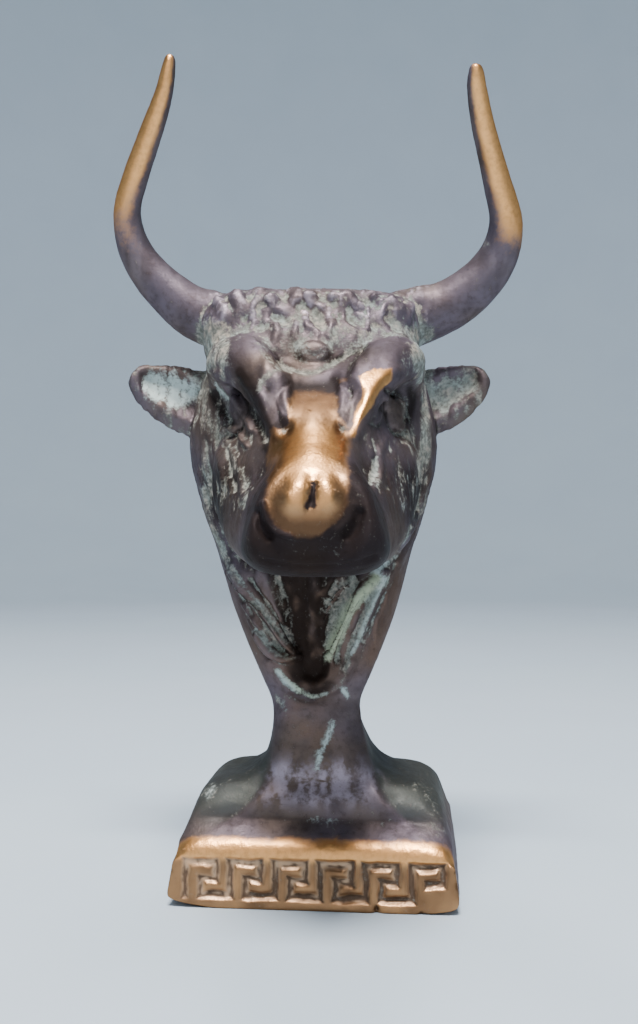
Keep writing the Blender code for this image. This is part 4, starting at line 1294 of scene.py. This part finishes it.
def dirt_and_painted_shade(figure, at):
    """Painted shade under the muzzle, in the throat, in hollows, on the nose's lower end and sides and on
    sideways faces; tarnish and dirt on the gold, brows, locks and ribbons; darker bands on the foot's
    front.
    """
    y, z = figure.points.T[1:]
    # Painted shade under the muzzle and on its lower front, which faces down.
    amount = 1.2 * ease((-y - 30) / 7) * ease((52.5 - z) / 4) + figure.spot(318, 556, 90, 28, 0.5)
    # Painted shade down the middle of the throat, under the jaw.
    amount += 1.0 * ease(1.3 * at.throat) * ease(0.75 + 0.6 * at.rough)
    # Painted shade in broad hollows, weaker on the gold.
    amount += 0.6 * ease(at.broad / 0.35) * (1 - 0.85 * at.face)
    # Darker towards the bottom of the foot's face, and unevenly.
    amount += at.foot_face * (0.60 * ease((FOOT_EDGE_HEIGHT - 1.0 - z) / 1.2) + 0.25 * at.rough)
    # Painted shade in the key's corners and other fine hollows of the foot's face, less on the key's flat
    # bed.
    in_groove = 0.35 * at.foot_face * at.groove * ease(1 - at.fine / 0.03)
    amount += 0.35 * at.foot_face * ease(at.fine / 0.03) - in_groove
    # Darker below the foot's rounded top edge, and in a band above it.
    amount += 0.12 * at.foot_face * (1 - at.groove) * ease((9.2 - z) / 1.0)
    amount += 0.40 * ease((z - 9.3) / 1.5) * ease((15 - z) / 4) * ease((-y - 8) / 2)
    down = figure.down
    # The golden face darkens at its top, which is tarnish, and at its lower end, which is painted shade
    # where the nose turns down.
    amount += at.face * (0.95 * ease((452 - down) / 52) + 0.95 * ease((down - 499) / 34))
    # Painted shade down both sides of the golden face.
    amount += 0.45 * at.face * ease((np.abs(figure.across - NOSE_COLUMN) - 16) / 24)
    amount += 1.0 * ease(1.4 * at.slit)
    # More painted shade on the muzzle's lower front, off the gold.
    amount += 0.7 * ease((-y - 30) / 5) * (1 - at.face) * ease((62 - z) / 6)
    # Painted shade on the surfaces of head and neck that face sideways.
    sideways = ease((np.abs(figure.normals[:, 0]) - 0.25) / 0.5)
    amount += 0.35 * sideways * ease((z - 26) / 6) * ease((84 - z) / 8) * (1 - at.cups)
    # Darker across the front of the lower head.
    amount += 0.35 * ease((-y - 4) / 4) * ease((62 - z) / 4) * ease((z - 50) / 4)
    figure.draw(amount, SHADES)
    amount += 0.35 * at.hair * ease((z - 80.5) / 3)
    # Darker down the front of the neck.
    amount += 0.25 * ease((z - 34) / 4) * ease((62 - z) / 4) * ease((-y - 2) / 4) * ease((y + 22) / 4)
    amount += 0.25 * at.ribbons
    return amount


def lilac_tone_and_painted_sheen(figure, at):
    """Pale lilac: a painted sheen on the raised tips of the locks, the horns, the stem's flare, the neck
    and the throat's rim, and a lilac tone on the ribbons and along the left brow.
    """
    z = figure.points[:, 2]
    stroke = figure.stroke
    # Painted sheen on the raised tips of the locks, and on the horns.
    amount = 0.9 * ease((z - 78) / 3) * ease(-at.fine / 0.05) * at.hair
    amount += 0.2 * ease((z - 84) / 4) * (at.out > 15)
    # Painted sheen on the flare of the stem and the slope below it.
    amount += 1.6 * stroke(((284, 782), (320, 786), (356, 780)), 36) * ease(0.7 + at.rough)
    amount += 0.30 * ease(1.5 * at.slope) * ease((figure.down - 762) / 12)
    # Painted sheen on the raised parts of the neck and along the throat's rim.
    amount += 0.20 * ease((60 - z) / 3) * ease((z - 32) / 5) * ease(-at.broad / 0.3)
    amount += 0.6 * stroke(((290, 690), (311, 698), (331, 692)), 7)
    amount *= 1 - ease((z - 8.5) / 1.5) * ease((14.5 - z) / 3)
    # Lilac tone along the left brow and on the ribbons.
    brow_line = stroke(((222, 352), (245, 372), (258, 396), (266, 424)), 22)
    amount += 0.08 * at.ribbons + 0.25 * brow_line
    return amount


def rust_stains(figure, at):
    """Rusty brown in the throat, beside the leaf and on the stem."""
    z = figure.points[:, 2]
    stroke = figure.stroke
    amount = 0.9 * at.throat + 0.7 * stroke(((400, 560), (392, 596), (382, 630), (374, 660)), 16)
    stem = stroke(((300, 715), (318, 740)), 34)
    amount += 0.5 * stem * ease(0.5 + at.rough) + 0.35 * ease(at.rough - 0.2)
    leaf = stroke(((374, 579), (362, 592), (350, 610), (340, 629), (332, 645)), 12)
    amount += 1.1 * leaf + 0.4 * ease((-z + 46) / 4) * ease((z - 28) / 4)
    return amount


def patina(figure, groove):
    """Writes how much of each tarnish, dirt and rubbed metal lies at each point, and where shade and a
    lilac sheen are painted.
    """
    mesh = figure.mesh
    at = Regions(figure, groove)
    chalk = whitish_crust(figure, at)
    store(mesh, "dust", at.foot_face * groove)
    store(mesh, "film", at.film * at.flank)
    store(mesh, "rust", rust_stains(figure, at))
    store(mesh, "chalk", chalk)
    # Lilac tone with painted sheen.
    store(mesh, "lilac_and_sheen", lilac_tone_and_painted_sheen(figure, at))
    store(mesh, "verdigris", thick_verdigris(figure, at, chalk))
    store(mesh, "worn", rubbed_metal(figure, at))
    # Real dirt and tarnish together with painted shade.
    store(mesh, "dirt_and_shade", dirt_and_painted_shade(figure, at))
    store(mesh, "streak", 0.5 + 0.5 * noise(figure.points * np.array([1.0, 0.6, 0.22]), 0.8, 31))


class Shader:
    """A short way to write node materials."""

    def __init__(self, name):
        self.material = bpy.data.materials.new(name)
        self.material.use_nodes = True
        self.tree = self.material.node_tree
        self.main = self.tree.nodes["Principled BSDF"]
        self.place = self.add("ShaderNodeTexCoord").outputs["Object"]

    def add(self, kind, **settings):
        node = self.tree.nodes.new(kind)
        for key, value in settings.items():
            setattr(node, key, value)
        return node

    def put(self, socket, value):
        if isinstance(value, bpy.types.NodeSocket):
            self.tree.links.new(value, socket)
        else:
            socket.default_value = value

    def attribute(self, name):
        return self.add("ShaderNodeAttribute", attribute_name=name).outputs["Fac"]

    def noise(self, size, detail=4.0, roughness=0.55):
        """Noise between 0 and 1 with features of about size metres."""
        node = self.add("ShaderNodeTexNoise")
        self.put(node.inputs["Vector"], self.place)
        node.inputs["Scale"].default_value = 1 / size
        node.inputs["Detail"].default_value = detail
        node.inputs["Roughness"].default_value = roughness
        return node.outputs["Fac"]

    def math(self, kind, a, b):
        node = self.add("ShaderNodeMath", operation=kind)
        self.put(node.inputs[0], a)
        self.put(node.inputs[1], b)
        return node.outputs[0]

    def uneven(self, value, pattern, amount):
        """The value, made higher or lower by a pattern that lies between 0 and 1."""
        sway = self.math("MULTIPLY", self.math("SUBTRACT", pattern, 0.5), amount)
        return self.math("ADD", value, sway)

    def glaze(self, base, share, strength, red, green, blue):
        """The base colour with another laid over it where share is 1, up to strength."""
        return self.mix(self.math("MULTIPLY", share, strength), base, rgb(red, green, blue))

    def step(self, value, low, high):
        """0 below low, 1 above high, smooth between."""
        node = self.add("ShaderNodeMapRange", interpolation_type="SMOOTHSTEP")
        self.put(node.inputs["Value"], value)
        node.inputs["From Min"].default_value = low
        node.inputs["From Max"].default_value = high
        return node.outputs["Result"]

    def mix(self, share, a, b):
        """Colour a where share is 0, colour b where it is 1."""
        node = self.add("ShaderNodeMix", data_type="RGBA")
        self.put(node.inputs["Factor"], share)
        self.put(node.inputs[6], a)
        self.put(node.inputs[7], b)
        return node.outputs[2]

    def blend(self, share, a, b):
        """Number a where share is 0, number b where it is 1."""
        node = self.add("ShaderNodeMix", data_type="FLOAT")
        self.put(node.inputs["Factor"], share)
        self.put(node.inputs[2], a)
        self.put(node.inputs[3], b)
        return node.outputs[0]


def rgb(red, green, blue):
    return (red, green, blue, 1.0)


def patinated_bronze():
    """Purple-brown patina with verdigris in the hollows and golden metal where it is rubbed, darkened by
    dirt and painted shade, with a painted lilac sheen.
    """
    s = Shader("patinated_bronze")
    broad = s.noise(0.014, 2.0)
    middle = s.noise(0.0028, 5.0, 0.6)
    fine = s.noise(0.0007, 4.0, 0.6)
    speck = s.noise(0.00035, 2.0, 0.5)
    verdigris, worn = s.attribute("verdigris"), s.attribute("worn")
    dirt_and_shade, streak = s.attribute("dirt_and_shade"), s.attribute("streak")
    chalk, lilac_and_sheen, rust = s.attribute("chalk"), s.attribute("lilac_and_sheen"), s.attribute("rust")
    film, dust = s.attribute("film"), s.attribute("dust")

    crust = s.uneven(s.uneven(s.uneven(verdigris, fine, 0.8), streak, 0.35), speck, 0.7)
    crust = s.step(crust, 0.15, 1.0)
    rubbed = s.step(s.uneven(s.uneven(worn, middle, 0.45), fine, 0.35), 0.12, 0.88)

    brown = s.mix(s.step(broad, 0.35, 0.65), rgb(0.118, 0.086, 0.072), rgb(0.118, 0.094, 0.112))
    brown = s.glaze(brown, s.step(middle, 0.40, 0.80), 0.55, 0.050, 0.038, 0.040)
    brown = s.glaze(brown, rust, 0.8, 0.175, 0.105, 0.070)
    brown = s.glaze(brown, s.step(fine, 0.50, 0.75), 0.45, 0.045, 0.030, 0.026)
    brown = s.glaze(brown, film, 0.8, 0.082, 0.092, 0.082)
    # Pale lilac, mostly a painted sheen, laid over the brown.
    lilac = s.math("MULTIPLY", lilac_and_sheen, s.step(s.math("ADD", fine, streak), 0.75, 1.25))
    brown = s.mix(lilac, brown, rgb(0.30, 0.25, 0.29))
    brown = s.glaze(brown, s.step(speck, 0.60, 0.80), 0.5, 0.16, 0.12, 0.12)
    # Dirt, tarnish and painted shade darken the brown.
    dirt_and_shade_share = s.step(dirt_and_shade, 0.1, 1.0)
    brown = s.glaze(brown, dirt_and_shade_share, 0.92, 0.009, 0.005, 0.004)
    gold = s.mix(s.step(fine, 0.3, 0.8), rgb(0.84, 0.41, 0.145), rgb(0.66, 0.31, 0.105))
    gold = s.glaze(gold, s.step(middle, 0.5, 0.8), 0.4, 0.34, 0.16, 0.06)
    # The gold darkened by tarnish and by painted shade.
    gold = s.mix(s.step(dirt_and_shade, 0.1, 0.7), gold, rgb(0.37, 0.20, 0.095))
    gold = s.glaze(gold, dust, 0.7, 0.40, 0.29, 0.20)
    gold = s.mix(s.step(dirt_and_shade, 0.5, 1.2), gold, rgb(0.045, 0.024, 0.016))
    metal = s.mix(rubbed, brown, gold)
    pale = s.mix(s.step(broad, 0.35, 0.65), rgb(0.33, 0.31, 0.25), rgb(0.28, 0.32, 0.30))
    pale = s.mix(s.step(middle, 0.45, 0.65), pale, rgb(0.33, 0.28, 0.23))
    pale = s.mix(s.step(fine, 0.35, 0.75), rgb(0.13, 0.13, 0.11), pale)
    white = s.mix(s.step(rust, 0.3, 0.9), rgb(0.44, 0.51, 0.49), rgb(0.37, 0.41, 0.27))
    pale = s.mix(s.math("MULTIPLY", chalk, s.step(fine, 0.2, 0.5)), pale, white)
    s.put(s.main.inputs["Base Color"], s.mix(crust, metal, pale))

    metallic = s.blend(rubbed, s.blend(dirt_and_shade_share, 0.75, 0.35), s.blend(dust, 1.0, 0.4))
    s.put(s.main.inputs["Metallic"], s.blend(crust, metallic, 0.0))
    s.main.inputs["Specular IOR Level"].default_value = 0.25
    s.main.inputs["Specular Tint"].default_value = rgb(0.40, 0.38, 0.38)
    rough = s.blend(s.step(middle, 0.3, 0.7), 0.46, 0.62)
    rough = s.blend(rubbed, rough, s.blend(fine, 0.27, 0.38))
    rough = s.blend(s.step(dirt_and_shade, 0.6, 1.4), rough, 0.72)
    s.put(s.main.inputs["Roughness"], s.blend(crust, rough, 0.85))

    grain = s.math("ADD", s.math("MULTIPLY", fine, 0.6), s.math("MULTIPLY", speck, 0.4))
    height = s.math("ADD", grain, s.math("MULTIPLY", crust, 0.8))
    bump = s.add("ShaderNodeBump")
    bump.inputs["Strength"].default_value = 0.35
    bump.inputs["Distance"].default_value = 0.00012
    s.put(bump.inputs["Height"], height)
    s.put(s.main.inputs["Normal"], bump.outputs["Normal"])
    return s.material


def pale_ground():
    s = Shader("pale_ground")
    tint = s.mix(s.noise(0.05, 4.0), rgb(0.42, 0.50, 0.58), rgb(0.47, 0.55, 0.62))
    s.put(s.main.inputs["Base Color"], tint)
    s.main.inputs["Roughness"].default_value = 0.9
    return s.material


# Ground (m): radius of its flat, radius of the turned up rim, and height of the wall
GROUND_RADIUS = 0.55
RIM_RADIUS = 0.35
WALL_HEIGHT = 1.2

# Lamps (m, W): name, place, size, power, colour, and where they all point
LAMPS = (
    ("overhead", (-0.02, -0.23, 0.60), (0.20, 0.15), 9.4, (1.0, 0.98, 0.96)),
    ("behind", (0.0, 0.15, 0.62), (0.08, 0.20), 1.5, (0.97, 0.98, 1.0)),
    ("front", (-0.05, -0.50, 0.24), (0.6, 0.4), 0.7, (0.95, 0.97, 1.0)),
)
LIT_PLACE = Vector((0, -0.01, 0.06))
ROOM_COLOUR = (0.80, 0.86, 0.92, 1.0)
ROOM_STRENGTH = 0.30


def wide_ground():
    """A wide round ground whose rim turns up into a wall."""
    turn = np.linspace(0, math.pi / 2, 16)
    profile = [(share * GROUND_RADIUS, 0.0) for share in (0.2, 0.6)]
    profile += [
        (GROUND_RADIUS + RIM_RADIUS * math.sin(a), RIM_RADIUS * (1 - math.cos(a))) for a in turn
    ]
    profile += [(GROUND_RADIUS + RIM_RADIUS, WALL_HEIGHT)]
    shape = bmesh.new()
    around = np.linspace(0, 2 * math.pi, 96, endpoint=False)
    rows = []
    for r, z in profile:
        rows.append([shape.verts.new((r * math.cos(a), r * math.sin(a), z)) for a in around])
    middle = shape.verts.new((0, 0, 0))
    for i in range(len(around)):
        shape.faces.new((middle, rows[0][i - 1], rows[0][i]))
        for lower, upper in zip(rows, rows[1:]):
            shape.faces.new((lower[i - 1], lower[i], upper[i], upper[i - 1]))
    bmesh.ops.recalc_face_normals(shape, faces=shape.faces)
    mesh = bpy.data.meshes.new("ground")
    shape.to_mesh(mesh)
    shape.free()
    mesh.shade_smooth()
    ground = bpy.data.objects.new("ground", mesh)
    ground.data.materials.append(pale_ground())
    bpy.context.collection.objects.link(ground)


def softbox(name, place, size, power, colour):
    light = bpy.data.lights.new(name, "AREA")
    light.shape = "RECTANGLE"
    light.size, light.size_y = size
    light.energy = power
    light.color = colour
    lamp = bpy.data.objects.new(name, light)
    lamp.location = place
    lamp.rotation_mode = "QUATERNION"
    lamp.rotation_quaternion = (LIT_PLACE - Vector(place)).to_track_quat("-Z", "Y")
    bpy.context.collection.objects.link(lamp)


def studio():
    """The ground, the soft lamps over it and the pale light of the room."""
    wide_ground()
    for lamp in LAMPS:
        softbox(*lamp)
    world = bpy.data.worlds.new("room")
    world.use_nodes = True
    background = world.node_tree.nodes["Background"]
    background.inputs["Color"].default_value = ROOM_COLOUR
    background.inputs["Strength"].default_value = ROOM_STRENGTH
    bpy.context.scene.world = world


def camera():
    view = bpy.data.cameras.new("camera")
    view.lens = LENS
    view.sensor_width = SENSOR
    view.clip_start = 0.01
    eye = bpy.data.objects.new("camera", view)
    eye.location = EYE * MM
    eye.rotation_euler = (math.pi / 2, 0, 0)
    bpy.context.collection.objects.link(eye)
    bpy.context.scene.camera = eye


def fit_inside(mesh, box):
    """Keeps every point inside the plain model's box."""
    low, high = (np.array(corner) / MM for corner in box)
    set_points(mesh, np.clip(points_of(mesh), low, high))


def soften_foot_front(mesh):
    """Takes the sharpness off the key and the front of the foot."""
    y, z = points_of(mesh).T[1:]
    soften(mesh, ease((-y - 11) / 2) * ease((12 - z) / 2), 0.35)


def main():
    camera()
    studio()
    figure = fine_sculpt()
    round_nose(Figure(figure.data))
    wear_edges(Figure(figure.data))
    refine_foot_face(figure.data)
    groove = wear_key(figure.data)
    soften_foot_front(figure.data)
    work = Figure(figure.data)
    relief(work)
    texture_relief(work)
    patina(work, groove)
    turn_foot(figure.data)
    fit_inside(figure.data, cad_box)
    less = figure.modifiers.new("less", "DECIMATE")
    figure.data.calc_loop_triangles()
    less.ratio = min(1, MOST_TRIANGLES / len(figure.data.loop_triangles))
    bake(figure)
    figure.data.transform(Matrix.Scale(MM, 4))
    figure.data.shade_smooth()
    figure.name = "sculpture"
    figure.data.materials.clear()
    figure.data.materials.append(patinated_bronze())
    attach(figure, "root")
    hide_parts("bull_head")


main()
